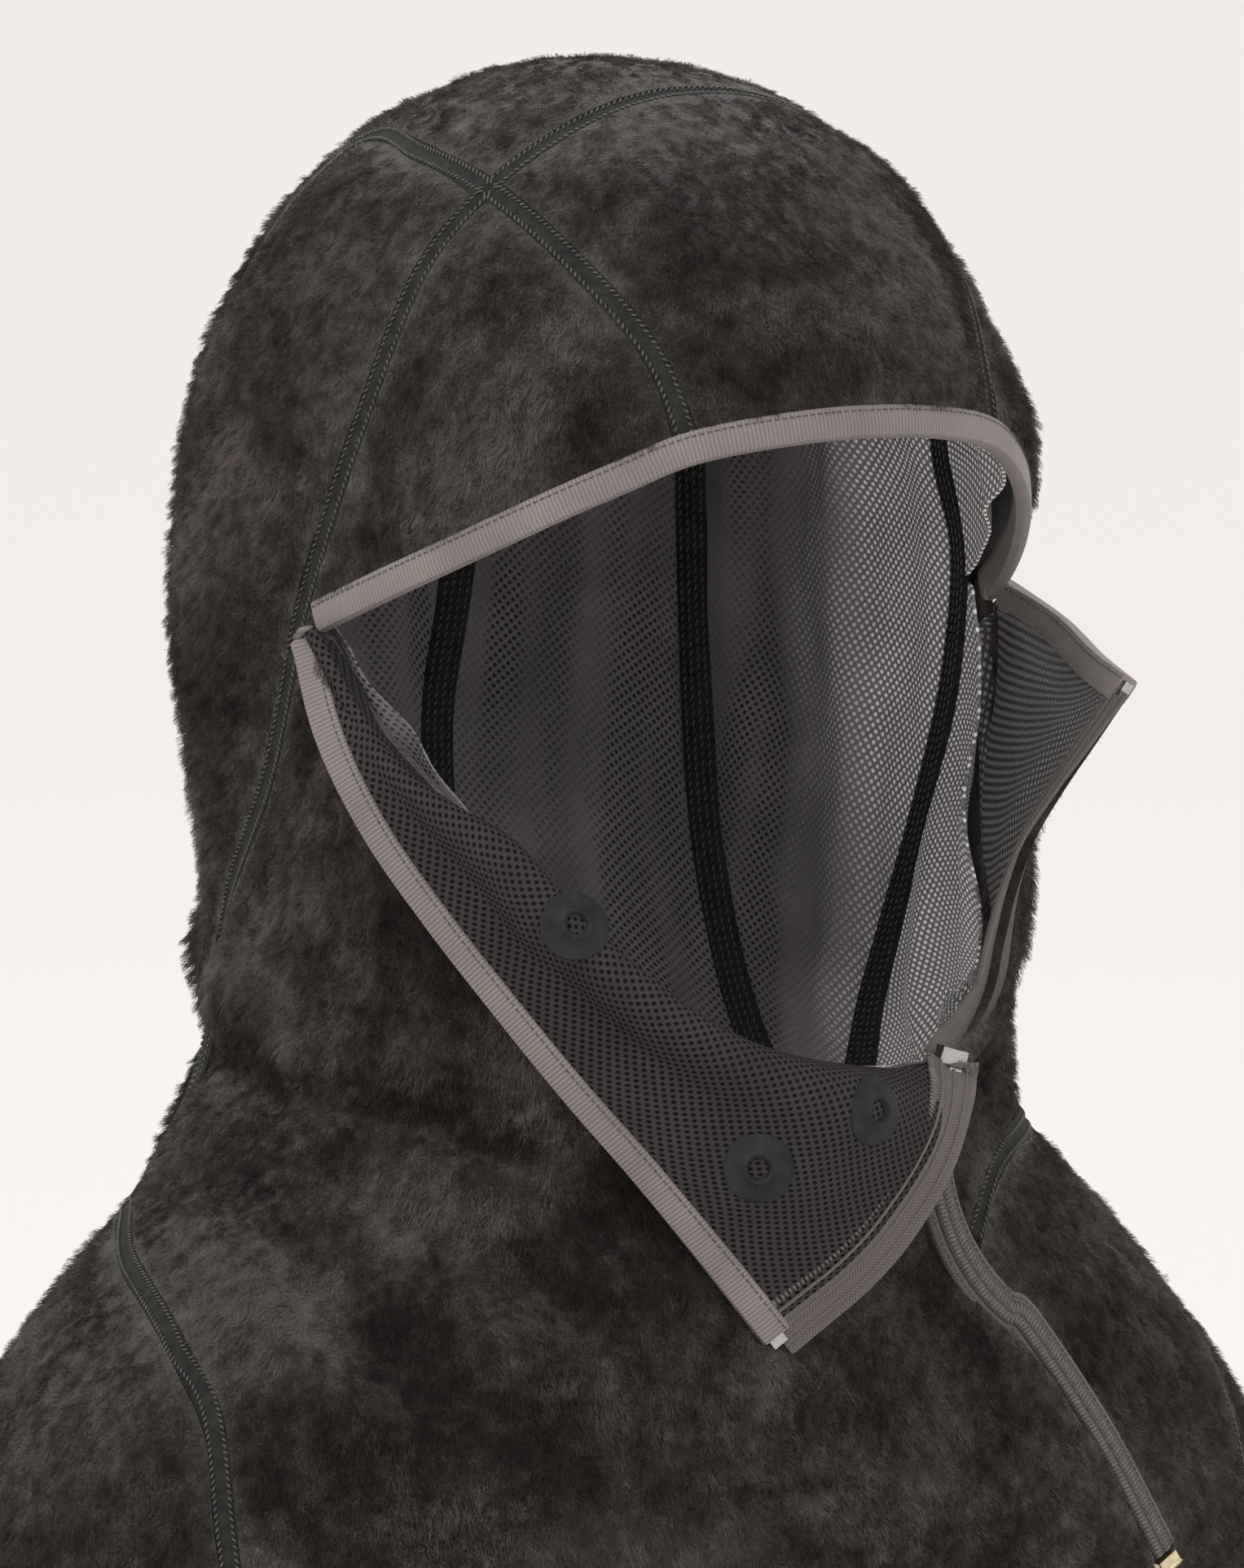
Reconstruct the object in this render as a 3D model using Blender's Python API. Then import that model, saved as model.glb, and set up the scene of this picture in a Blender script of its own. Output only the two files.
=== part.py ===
"""Full-face fleece hood with a shoulder yoke and an off-centre zip, shown as worn and half open.

The wearer faces -Y, +Z is up and the wearer's right hand is at -X. The origin is the middle of the
wearer's head. Lengths inside this file are in millimetres and become metres in make_mesh.
"""

import math

import bmesh
import bpy
import numpy as np

MM = 0.001

# Driving dimensions, in millimetres.
FLEECE = 2.4  # knitted backing with its pressed pile
LINING = 0.8  # warp-knit mesh
PLY_GAP = 0.4  # air between the two plies
SEAM_HALF = 2.6  # half the width of a flat seam
SEAM_GAP = 1.2  # clearance beside each seam
SEAM_LOW = -4.4  # the seam's tape stands this far below the fleece face, inside the lining
SEAM_HIGH = -0.4  # and its stitching is sunk this far below it
BINDING_HALF = 4.0  # elastic binding, 8 mm wide when folded over the edge
BINDING_THICK = 3.6
ZIP_GAP_HALF = 5.6  # half the slot between the two front panels
CHAIN_HALF = 2.4  # half the width of the coupled coils
TAPE_HALF = 6.4  # half the visible width of the zip tape on a flap
HEM_HEIGHT = 12.0
HEM_Z = -300.0
CROWN_Z = 129.0
ROUNDNESS = 2.15  # exponent of the section ovals; 2 would be an ellipse

# The zip's upper stretch is an arc in the plane y = ZIP_PLANE_Y, so that the slider can turn along it.
ZIP_PLANE_Y = -98.6
ZIP_ARC_CENTRE = (90.0, -135.0)  # x and z
ZIP_ARC_RADIUS = 58.5
ZIP_TOP_ANGLE = 163.0  # degrees from +x, at the slider's rest place
ZIP_ARC_END_ANGLE = 240.0
ZIP_STOP = (104.0, -248.0)

# Body sections from hem to crown: height, half width, depth in front and depth behind.
SECTIONS = np.array(
    [
        (HEM_Z, 200, 118, 112),
        (-262, 194, 116, 110),
        (-225, 184, 112, 107),
        (-197, 166, 107, 105),
        (-172, 141, 102, 103),
        (-148, 116, 99, 102),
        (-125, 101, 102, 104),
        (-98, 96, 104, 102),
        (-68, 96, 107, 107),
        (-30, 99, 112, 116),
        (5, 99, 116, 119),
        (40, 95, 115, 115),
        (75, 82, 103, 104),
        (100, 65, 83, 85),
        (118, 43, 56, 58),
        (127, 21, 28, 30),
        (CROWN_Z, 0, 0, 0),
    ],
    float,
)

# Seam routes on the wearer's right, settled onto the shell by route().
CROWN_CORNER = (-60, -36, 100)
BROW_JOIN = (-46, -103, 38.5)
EYE_CORNER_RIGHT = (-97, -17, -6)
EYE_CORNER_LEFT = (94, -38, -6)
SHOULDER_POINT = (-109, 57, -160)
FRONT_SEAM = [CROWN_CORNER, (-57, -70, 82), (-50, -93, 61), BROW_JOIN]
CROWN_SEAM = [CROWN_CORNER, (-37, -41, 115), (0, -43, 123), (37, -41, 115), (60, -36, 100)]
SIDE_SEAM_TOP = [CROWN_CORNER, (-77, -31, 79), (-93, -27, 40), (-97, -11, -4)]
SIDE_SEAM_LOW = [(-97, -11, -4), (-96, 6, -46), (-87, 42, -91), (-98, 52, -130), SHOULDER_POINT]
BACK_SEAM_START = (-48, 36, 110)
BACK_SEAM_TOP = [CROWN_CORNER, (-57, 0, 108), BACK_SEAM_START]
BACK_SEAM_LOW = [BACK_SEAM_START, (-37, 90, 62), (-29, 111, -13), (-18, 105, -60), (-17, 98, -138)]
NECK_SIDE_SEAM = [
    BACK_SEAM_START,
    (-72, 60, 70),
    (-80, 70, 13),
    (-79, 66, -47),
    (-84, 60, -100),
    SHOULDER_POINT,
]
NAPE_SEAM = [SHOULDER_POINT, (-70, 84, -146), (-17, 98, -138)]
RAGLAN_FRONT = [SHOULDER_POINT, (-131, 15, -166), (-144, -25, -180), (-152, -56, -206), (-150, -84, HEM_Z)]
RAGLAN_BACK = [SHOULDER_POINT, (-138, 66, -200), (-158, 80, HEM_Z)]
SIDE_SEAM_TOP_LEFT = [(60, -36, 100), (79, -33, 75), (95, -24, 30), (95, -31, -3)]
SIDE_SEAM_LOW_LEFT = [(95, -31, -3), (94, -14, -71), (101, 20, -130), (109, 57, -160)]
NECK_JOIN_LEFT = [(109, 57, -160), (104, -20, -143), (68, -80, -143), (44, -96, -166)]
BROW = [
    EYE_CORNER_RIGHT,
    (-85, -61, 13),
    (-62, -92, 30.5),
    BROW_JOIN,
    (-20, -112, 43),
    (0, -114, 44),
    (20, -112, 43),
    (46, -103, 38.5),
    (64, -91, 29),
    (84, -66, 11),
    EYE_CORNER_LEFT,
]
FOLD_RIGHT = [
    EYE_CORNER_RIGHT,
    (-92, -39, -32),
    (-83, -58, -52),
    (-72, -72, -71),
    (-58, -84, -88),
    (-43, -93, -101),
    (-17, -100, -112),
    (7, -101, -117),
    (34, -98, -118),
]
FOLD_LEFT = [EYE_CORNER_LEFT, (92, -50, -40), (78, -72, -82), (60, -86, -106), (34, -98, -118)]

# The flaps hang free of the shell, so their edges are points in space.
FLAP_TIP_RIGHT = (-23, -107, -179)
BINDING_RIGHT = [
    (-103, -20, -9),
    (-104, -35, -37),
    (-97, -50, -62),
    (-84, -69, -90),
    (-68, -86, -118),
    (-48, -99, -146),
    FLAP_TIP_RIGHT,
]
ZIP_EDGE_RIGHT = [(30, -108, -118), (22, -117, -127), (12, -122, -140), (-4, -119, -160), FLAP_TIP_RIGHT]
FLAP_TIP_LEFT = (78, -113, -26)
BINDING_LEFT = [(94, -41, -7), (93, -66, -15), (86, -90, -22), FLAP_TIP_LEFT]
ZIP_EDGE_LEFT = [(44, -103, -117), (60, -93, -104), (61, -96, -84), (62, -103, -60), FLAP_TIP_LEFT]

# Row from the eye corner and column from the fold, on the right flap.
EYELETS = [(3.8, 1.4), (6.5, 5.1), (6.9, 2.0)]
PATCH_RADII = (8.5, 4.2, 2.8)  # the film, the moulded rim and the punched hole
PATCH_HEIGHTS = (2.2, 2.8, 3.6)  # film's underside, film's top and rim's top, above the flap's middle
FLIP = np.array((-1.0, 1.0, 1.0))
SIDES = (("right", np.ones(3)), ("left", FLIP))
FLAP_MARGIN = 4.0  # between a flap's cloth and the middle of its trim, beyond the trim's half width
FLAP_GRID = 9  # points along each side of a flap
DENSE = 121  # points along a seam before it is divided
HEM_JOIN = (112, -98, HEM_Z)  # where the two front panels meet at the hem, below the zip

COLOURS = {
    "fleece": ((0.045, 0.036, 0.033), 0.95, 0.0),
    "lining": ((0.062, 0.058, 0.064), 0.85, 0.0),
    "seam": ((0.030, 0.031, 0.028), 0.8, 0.0),
    "binding": ((0.26, 0.22, 0.205), 0.6, 0.0),
    "zip_tape": ((0.14, 0.12, 0.11), 0.7, 0.0),
    "zip_coil": ((0.11, 0.095, 0.09), 0.45, 0.0),
    "metal": ((0.72, 0.72, 0.72), 0.28, 1.0),
    "patch": ((0.05, 0.055, 0.052), 0.6, 0.0),
}


def clear_scene():
    for old in list(bpy.data.objects):
        bpy.data.objects.remove(old, do_unlink=True)


def material(name):
    found = bpy.data.materials.get(name)
    if found:
        return found
    colour, roughness, metallic = COLOURS[name]
    made = bpy.data.materials.new(name)
    made.use_nodes = True
    shader = made.node_tree.nodes["Principled BSDF"]
    shader.inputs["Base Color"].default_value = (*colour, 1.0)
    shader.inputs["Roughness"].default_value = roughness
    shader.inputs["Metallic"].default_value = metallic
    return made


def catmull(table, t):
    """Smooth interpolation through the rows of table; t counts rows, and may be an array."""
    ends = np.vstack([2 * table[0] - table[1], table, 2 * table[-1] - table[-2]])
    i = np.clip(np.floor(t).astype(int), 0, len(table) - 2)
    f = (np.asarray(t) - i)[..., None]
    a, b, c, d = ends[i], ends[i + 1], ends[i + 2], ends[i + 3]
    bend = (2 * a - 5 * b + 4 * c - d) * f**2 + (3 * b - a - 3 * c + d) * f**3
    return 0.5 * (2 * b + (c - a) * f + bend)


def section(t):
    """Height, half width, front depth and back depth at section number t."""
    mirrored = SECTIONS[-2] * (1, -1, -1, -1)
    rows = catmull(np.vstack([SECTIONS, mirrored]), t)
    return rows[..., 0], *(np.maximum(rows[..., k], 0.3) for k in (1, 2, 3))


def radius(turn, t):
    """Distance from the upright axis at the angle turn, 0 in front and positive to the wearer's left."""
    _, half, front, back = section(t)
    depth = np.where(np.cos(turn) > 0, front, back)
    oval = np.abs(np.sin(turn) / half) ** ROUNDNESS + np.abs(np.cos(turn) / depth) ** ROUNDNESS
    return oval ** (-1 / ROUNDNESS)


def locate(points):
    """Angle and section number where each point settles: level below the origin, radial above it."""
    points = np.asarray(points, float)
    turn = np.arctan2(points[..., 0], -points[..., 1])
    reach = np.hypot(points[..., 0], points[..., 1])
    low = np.zeros(turn.shape)
    high = np.full(turn.shape, len(SECTIONS) - 1.001)
    for _ in range(40):
        middle = (low + high) / 2
        height = section(middle)[0]
        slope = height * reach - radius(turn, middle) * points[..., 2]
        below = np.where(points[..., 2] > 0, slope < 0, height < points[..., 2])
        low = np.where(below, middle, low)
        high = np.where(below, high, middle)
    return turn, (low + high) / 2


def shell(turn, t):
    far = radius(turn, t)
    return np.stack([far * np.sin(turn), -far * np.cos(turn), section(t)[0]], axis=-1)


def settle(points, lift=0.0):
    """The points moved onto the shell, and lift above it, with the shell's outward normals."""
    turn, t = locate(points)
    along = shell(turn, t + 0.01) - shell(turn, t - 0.01)
    around = shell(turn + 0.01, t) - shell(turn - 0.01, t)
    normal = np.cross(around, along)
    normal /= np.linalg.norm(normal, axis=-1, keepdims=True)
    return shell(turn, t) + normal * np.asarray(lift)[..., None], normal


def resample(points, count):
    """count points at equal steps of length along a smooth curve through points."""
    points = np.asarray(points, float)
    fine = catmull(points, np.linspace(0, len(points) - 1, 40 * len(points)))
    steps = np.linalg.norm(np.diff(fine, axis=0), axis=1)
    length = np.concatenate([[0], np.cumsum(steps)])
    wanted = np.linspace(0, length[-1], count)
    return np.stack([np.interp(wanted, length, fine[:, k]) for k in range(3)], axis=1)


def route(points, count):
    """A seam: equal steps along a smooth curve that lies on the shell."""
    return settle(resample(points, count))[0]


def mirror(points):
    return [(-x, y, z) for x, y, z in points]


def part_of(curve, start, end):
    """The part of a dense curve between the places nearest to start and end, in that order."""
    first, last = (int(np.argmin(np.linalg.norm(curve - np.array(place), axis=1))) for place in (start, end))
    return curve[first : last + 1] if first < last else curve[last : first + 1][::-1]


def coons(left, right, bottom, top):
    """A grid between four edges: left and right run from bottom to top, bottom and top from left to right."""
    s = np.linspace(0, 1, len(bottom))[None, :, None]
    t = np.linspace(0, 1, len(left))[:, None, None]
    across = (1 - s) * left[:, None] + s * right[:, None]
    upward = (1 - t) * bottom[None] + t * top[None]
    corners = (1 - s) * (1 - t) * bottom[0] + s * (1 - t) * bottom[-1]
    corners = corners + (1 - s) * t * top[0] + s * t * top[-1]
    return across + upward - corners


def inset_rows(grid, first, last):
    """Every row shortened by first and last millimetres at its two ends, keeping its number of points.

    first and last may each be one length or one per row.
    """
    rows = []
    for row, head, tail in zip(grid, np.broadcast_to(first, len(grid)), np.broadcast_to(last, len(grid))):
        steps = np.linalg.norm(np.diff(row, axis=0), axis=1)
        length = np.concatenate([[0], np.cumsum(steps)])
        start = min(head, 0.3 * length[-1])
        end = length[-1] - min(tail, 0.4 * length[-1])
        wanted = np.linspace(start, end, len(row))
        rows.append(np.stack([np.interp(wanted, length, row[:, k]) for k in range(3)], axis=1))
    return np.array(rows)


def inset(grid, left, right, bottom, top):
    grid = inset_rows(grid, left, right)
    return inset_rows(grid.transpose(1, 0, 2), bottom, top).transpose(1, 0, 2)


def grid_normals(grid):
    along = np.gradient(grid, axis=0)
    across = np.gradient(grid, axis=1)
    normal = np.cross(across, along)
    return normal / np.linalg.norm(normal, axis=-1, keepdims=True)


def make_mesh(name, verts, faces, finish, smooth=True):
    mesh = bpy.data.meshes.new(name)
    mesh.from_pydata([tuple(point) for point in np.asarray(verts) * MM], [], faces)
    shape = bmesh.new()
    shape.from_mesh(mesh)
    bmesh.ops.recalc_face_normals(shape, faces=shape.faces)
    shape.to_mesh(mesh)
    shape.free()
    mesh.materials.append(material(finish))
    if smooth:
        mesh.shade_smooth()
        mesh.set_sharp_from_angle(angle=math.radians(50))
    made = bpy.data.objects.new(name, mesh)
    bpy.context.scene.collection.objects.link(made)
    return made


def slab(name, outer, inner, finish):
    """A closed sheet between two matching grids of points."""
    rows, cols = outer.shape[:2]
    verts = np.vstack([outer.reshape(-1, 3), inner.reshape(-1, 3)])
    under = rows * cols
    faces = []
    for i in range(rows - 1):
        for j in range(cols - 1):
            a = i * cols + j
            for corners in ((a, a + 1, a + cols + 1), (a, a + cols + 1, a + cols)):
                faces.append(corners)
                faces.append(tuple(corner + under for corner in reversed(corners)))
    rim = [j for j in range(cols)] + [i * cols + cols - 1 for i in range(1, rows)]
    rim += [(rows - 1) * cols + j for j in range(cols - 2, -1, -1)]
    rim += [i * cols for i in range(rows - 2, 0, -1)]
    for a, b in zip(rim, rim[1:] + rim[:1]):
        faces.append((b, a, a + under, b + under))
    return make_mesh(name, verts, faces, finish)


def straight(start, end, count):
    return np.linspace(start, end, count)


def evenly(points, count):
    """count points at equal steps of length along a row of points."""
    steps = np.concatenate([[0], np.cumsum(np.linalg.norm(np.diff(points, axis=0), axis=1))])
    wanted = np.linspace(0, steps[-1], count)
    return np.stack([np.interp(wanted, steps, points[:, k]) for k in range(3)], axis=1)


def distances(points, curve):
    return np.linalg.norm(points[:, None] - curve[None], axis=2).min(axis=1)


def shifted(curve, margin, toward):
    """The curve moved sideways along the shell by margin, to the side where the point toward lies."""
    points, normals = settle(curve)
    side = np.cross(normals, np.gradient(points, axis=0))
    side /= np.linalg.norm(side, axis=1, keepdims=True)
    if np.sum((toward - points) * side) < 0:
        side = -side
    return settle(points + side * margin)[0]


def bounded(left, right, bottom, top, away=()):
    """A grid on the shell inside its edges, each side a list of (dense curve, margin, count).

    left and right run from bottom to top. A side given as None is a straight line between its
    neighbours. away lists (point, distance) pairs that the grid keeps off as well.
    """
    sides = [left, right, bottom, top]
    edges = [edge for side in sides if side for edge in side]
    toward = np.vstack([edge[0] for edge in edges]).mean(axis=0)
    barriers = [(edge[0], edge[1]) for edge in edges]
    barriers += [(np.array([point], float), far) for point, far in away]
    lines = []
    for side in sides:
        line = None
        for curve, margin, count in side or ():
            moved = shifted(curve, margin, toward)
            clear = np.ones(len(moved), bool)
            for barrier, far in barriers:
                if barrier is not curve:
                    clear &= distances(moved, barrier) >= far
            kept = np.flatnonzero(clear)
            piece = evenly(moved[kept[0] : kept[-1] + 1], count)
            if line is not None:
                line[-1] = (line[-1] + piece[0]) / 2
                piece = piece[1:]
            line = piece if line is None else np.vstack([line, piece])
        lines.append(line)
    left_line, right_line, bottom_line, top_line = lines
    if bottom_line is None:
        bottom_line = straight(left_line[0], right_line[0], len(top_line))
    if top_line is None:
        top_line = straight(left_line[-1], right_line[-1], len(bottom_line))
    for side_line, k, other, m in (
        (left_line, 0, bottom_line, 0),
        (right_line, 0, bottom_line, -1),
        (left_line, -1, top_line, 0),
        (right_line, -1, top_line, -1),
    ):
        side_line[k] = other[m] = (side_line[k] + other[m]) / 2
    return settle(coons(left_line, right_line, bottom_line, top_line))[0]


def fleece_panel(name, on_shell):
    return slab(name, on_shell, settle(on_shell, -FLEECE)[0], "fleece")


def lining_panel(name, on_shell, front=-FLEECE - PLY_GAP):
    """A panel of mesh lining, just behind the fleece."""
    return slab(name, settle(on_shell, front)[0], settle(on_shell, front - LINING)[0], "lining")


def ribbon(name, centre, normals, low, high, near, far, finish):
    """A strip along centre, from near to far millimetres sideways and from low to high along the normals."""
    ahead = np.gradient(centre, axis=0)
    ahead /= np.linalg.norm(ahead, axis=1, keepdims=True)
    side = np.cross(normals, ahead)
    side /= np.linalg.norm(side, axis=1, keepdims=True)
    outer = np.stack([centre + side * near + normals * high, centre + side * far + normals * high], axis=1)
    inner = np.stack([centre + side * near + normals * low, centre + side * far + normals * low], axis=1)
    return slab(name, outer, inner, finish)


def trimmed(curve, first, last):
    return inset_rows(curve[None], first, last)[0]


def flat_seam(name, curve, count, trims):
    """A flat-felled seam strip that fills the gap between two panels, short of both ends by trims."""
    inner = trimmed(curve, *trims)
    centre, normals = settle(evenly(inner, count))
    low = -FLEECE if name.startswith(("front", "raglan")) else SEAM_LOW
    return ribbon(name, centre, normals, low, SEAM_HIGH, -SEAM_HALF, SEAM_HALF, "seam")


def on_zip_arc(angle):
    """The point of the zip's arc at an angle about the arc's centre."""
    x, z = ZIP_ARC_CENTRE
    return (x + ZIP_ARC_RADIUS * math.cos(angle), ZIP_PLANE_Y, z + ZIP_ARC_RADIUS * math.sin(angle))


def zip_path(count, first_mm=0.0):
    """The closed zip in its plane: the arc, then a straight run to the bottom stop."""
    angles = np.radians(np.linspace(ZIP_TOP_ANGLE, ZIP_ARC_END_ANGLE, 12))
    arc = [on_zip_arc(angle) for angle in angles]
    run = [(84, ZIP_PLANE_Y, -216), (ZIP_STOP[0], ZIP_PLANE_Y, ZIP_STOP[1])]
    return trimmed(resample(arc + run, count), first_mm, 0.0)



def seam_curves():
    """Every seam as a dense curve on the shell, by name; those named _left or _right come in pairs."""
    curves = {
        "crown_seam": route(CROWN_SEAM, DENSE),
        "nape_seam": route([*NAPE_SEAM[:-1], (0, 99, -138), *mirror(NAPE_SEAM[-2::-1])], DENSE),
        "neck_join_seam": route(NECK_JOIN_LEFT, DENSE),
        "brow": route(BROW, DENSE),
        "zip": route([*map(tuple, zip_path(12)), HEM_JOIN], DENSE),
        "side_seam_right": route([*SIDE_SEAM_TOP, *SIDE_SEAM_LOW[1:]], DENSE),
        "side_seam_left": route([*SIDE_SEAM_TOP_LEFT, *SIDE_SEAM_LOW_LEFT[1:]], DENSE),
    }
    for side, flip in SIDES:
        curves[f"front_seam_{side}"] = route(FRONT_SEAM, DENSE) * flip
        curves[f"back_seam_{side}"] = route([*BACK_SEAM_TOP, *BACK_SEAM_LOW[1:]], DENSE) * flip
        curves[f"neck_side_seam_{side}"] = route(NECK_SIDE_SEAM, DENSE) * flip
        curves[f"raglan_seam_{side}"] = route([*RAGLAN_BACK[::-1], *RAGLAN_FRONT[1:]], DENSE) * flip
    return curves


def build_hood_panels(curves):
    right, left = np.array(CROWN_CORNER), np.array(CROWN_CORNER) * FLIP
    nape_low = np.array(BACK_SEAM_LOW[-1])
    joint = SEAM_HALF + SEAM_GAP
    bound = BINDING_HALF + SEAM_GAP

    def seam(name, start, end, count):
        return (part_of(curves[name], start, end), joint, count)

    def brow(start, end, count):
        return (part_of(curves["brow"], start, end), bound, count)

    forehead = bounded(
        [seam("front_seam_right", BROW_JOIN, right, 9)],
        [seam("front_seam_left", BROW_JOIN * FLIP, left, 9)],
        [brow(BROW_JOIN, BROW_JOIN * FLIP, 10)],
        [seam("crown_seam", right, left, 10)],
    )
    fleece_panel("forehead_panel", forehead)
    crown_back = bounded(
        [seam("back_seam_right", nape_low, right, 18)],
        [seam("back_seam_left", nape_low * FLIP, left, 18)],
        [seam("nape_seam", nape_low, nape_low * FLIP, 7)],
        [seam("crown_seam", right, left, 7)],
    )
    fleece_panel("crown_back_panel", crown_back)
    lining_panel("crown_back_lining", crown_back)
    brow_lining = bounded(
        [seam("side_seam_right", EYE_CORNER_RIGHT, right, 10)],
        [seam("side_seam_left", EYE_CORNER_LEFT, left, 10)],
        [brow(EYE_CORNER_RIGHT, EYE_CORNER_LEFT, 15)],
        [seam("crown_seam", right, left, 15)],
    )
    lining_panel("brow_lining", brow_lining, -FLEECE - 3 * PLY_GAP)

    for side, flip in SIDES:
        corner = EYE_CORNER_RIGHT if side == "right" else EYE_CORNER_LEFT
        point, start = np.array(SHOULDER_POINT) * flip, np.array(BACK_SEAM_START) * flip
        side_front = bounded(
            [seam(f"side_seam_{side}", corner, right * flip, 10)],
            [seam(f"front_seam_{side}", BROW_JOIN * flip, right * flip, 10)],
            [brow(corner, BROW_JOIN * flip, 8)],
            None,
            [(right * flip, 16)],
        )
        fleece_panel(f"side_front_panel_{side}", side_front)
        ear = bounded(
            [seam(f"neck_side_seam_{side}", point, start, 14)],
            [seam(f"side_seam_{side}", point, right * flip, 14)],
            None,
            [seam(f"back_seam_{side}", start, right * flip, 5)],
            [(point, 34)],
        )
        side_back = bounded(
            [seam(f"neck_side_seam_{side}", point, start, 14)],
            [seam(f"back_seam_{side}", nape_low * flip, start, 14)],
            [seam("nape_seam", point, nape_low * flip, 7)],
            None,
            [(start, 16)],
        )
        for kind, on_shell in (("ear", ear), ("side_back", side_back)):
            fleece_panel(f"{kind}_panel_{side}", on_shell)
            lining_panel(f"{kind}_lining_{side}", on_shell)


def build_yoke_panels(curves):
    point = np.array(SHOULDER_POINT)
    hem_front, hem_back = np.array(RAGLAN_FRONT[-1]), np.array(RAGLAN_BACK[-1])
    joint, slot, hem = SEAM_HALF + SEAM_GAP, ZIP_GAP_HALF, HEM_HEIGHT + SEAM_GAP

    def seam(name, start, end, count):
        return (part_of(curves[name], start, end), joint, count)

    for side, flip in SIDES:
        cap_hem = route([RAGLAN_BACK[-1], (-200, 0, HEM_Z), RAGLAN_FRONT[-1]], DENSE) * flip
        raglan = f"raglan_seam_{side}"
        cap = bounded(
            [seam(raglan, hem_back * flip, point * flip, 10)],
            [seam(raglan, hem_front * flip, point * flip, 10)],
            [(cap_hem, hem, 10)],
            None,
            [(point * flip, 16)],
        )
        fleece_panel(f"sleeve_cap_{side}", cap)

    back_hem = route([RAGLAN_BACK[-1], (-80, 105, HEM_Z), (80, 105, HEM_Z), *mirror(RAGLAN_BACK[-1:])], DENSE)
    yoke = bounded(
        [seam("raglan_seam_right", hem_back, point, 9)],
        [seam("raglan_seam_left", hem_back * FLIP, point * FLIP, 9)],
        [(back_hem, hem, 12)],
        [seam("nape_seam", point, point * FLIP, 12)],
    )
    fleece_panel("back_yoke_panel", yoke)

    zip_line, fold_right, fold_left = curves["zip"], route(FOLD_RIGHT, DENSE), route(FOLD_LEFT, DENSE)
    zip_hem, zip_top = zip_line[-1], zip_line[0]
    rows = 12
    hem_right = route([RAGLAN_FRONT[-1], (-70, -115, HEM_Z), (30, -117, HEM_Z), HEM_JOIN], DENSE)
    front = bounded(
        [
            seam("raglan_seam_right", hem_front, point, rows),
            seam("side_seam_right", point, EYE_CORNER_RIGHT, rows),
        ],
        [
            (part_of(zip_line, zip_hem, zip_top), slot, rows),
            (fold_right[::-1], 0.5, rows),
        ],
        [(hem_right, hem, 10)],
        None,
    )
    fleece_panel("front_panel_right", front)
    lining_panel("collar_lining_right", front[rows - 1 :])

    join_end = NECK_JOIN_LEFT[-1]
    cheek = bounded(
        [seam("side_seam_left", point * FLIP, EYE_CORNER_LEFT, 15)],
        [(part_of(zip_line, join_end, zip_top), slot, 5), (fold_left[::-1], 0.5, 11)],
        [seam("neck_join_seam", point * FLIP, join_end, 13)],
        None,
    )
    fleece_panel("cheek_panel_left", cheek)
    lining_panel("cheek_lining_left", cheek)

    hem_left = route([*mirror(RAGLAN_FRONT[-1:]), HEM_JOIN], DENSE)
    chest = bounded(
        [seam("raglan_seam_left", hem_front * FLIP, point * FLIP, 11)],
        [(part_of(zip_line, zip_hem, join_end), slot, 11)],
        [(hem_left, hem, 11)],
        [seam("neck_join_seam", point * FLIP, join_end, 11)],
    )
    fleece_panel("chest_panel_left", chest)


def build_seams(curves):
    ends = {"front": (8.0, 8.0), "side": (14.0, 16.0), "back": (14.0, 7.0), "neck_side": (7.0, 33.0)}
    ends["raglan"] = (HEM_HEIGHT + 2, HEM_HEIGHT + 2)
    flat_seam("crown_seam", curves["crown_seam"], 12, (7.0, 7.0))
    flat_seam("nape_seam", curves["nape_seam"], 18, (14.0, 14.0))
    flat_seam("neck_join_seam", curves["neck_join_seam"], 16, (22.0, 10.0))
    below_zip = part_of(curves["zip"], (ZIP_STOP[0], ZIP_PLANE_Y, ZIP_STOP[1]), HEM_JOIN)
    centre, normals = settle(evenly(trimmed(below_zip, 8.0, HEM_HEIGHT + 2), 5))
    ribbon("chest_seam", centre, normals, -FLEECE, SEAM_HIGH, -SEAM_HALF * 1.8, SEAM_HALF * 1.8, "seam")
    for side, _ in SIDES:
        for name, trims in ends.items():
            count = 22 if name in ("side", "raglan") else 15
            flat_seam(f"{name}_seam_{side}", curves[f"{name}_seam_{side}"], count, trims)
    centre, normals = settle(evenly(trimmed(curves["brow"], 8.0, 5.0), 26))
    ribbon("brow_binding", centre, normals, -BINDING_THICK, 0.0, -BINDING_HALF, BINDING_HALF, "binding")


def build_hem():
    """A flat-bottomed band around the whole lower edge, 4 mm thick."""
    around = np.linspace(0, 2 * math.pi, 60, endpoint=False)
    verts = []
    for height, inward in ((HEM_Z, 0), (HEM_Z + HEM_HEIGHT, 0), (HEM_Z + HEM_HEIGHT, 4), (HEM_Z, 4)):
        level = np.stack([np.sin(around), -np.cos(around), np.full(around.shape, height)], axis=1)
        level[:, :2] *= 100
        on_shell = settle(level)[0]
        on_shell[:, :2] *= 1 - inward / np.linalg.norm(on_shell[:, :2], axis=1, keepdims=True)
        on_shell[:, 2] = height
        verts.append(on_shell)
    count = len(around)
    faces = []
    for ring in range(4):
        after = (ring + 1) % 4
        for i in range(count):
            j = (i + 1) % count
            faces.append((ring * count + i, ring * count + j, after * count + j, after * count + i))
    make_mesh("hem_band", np.vstack(verts), faces, "seam")


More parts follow.
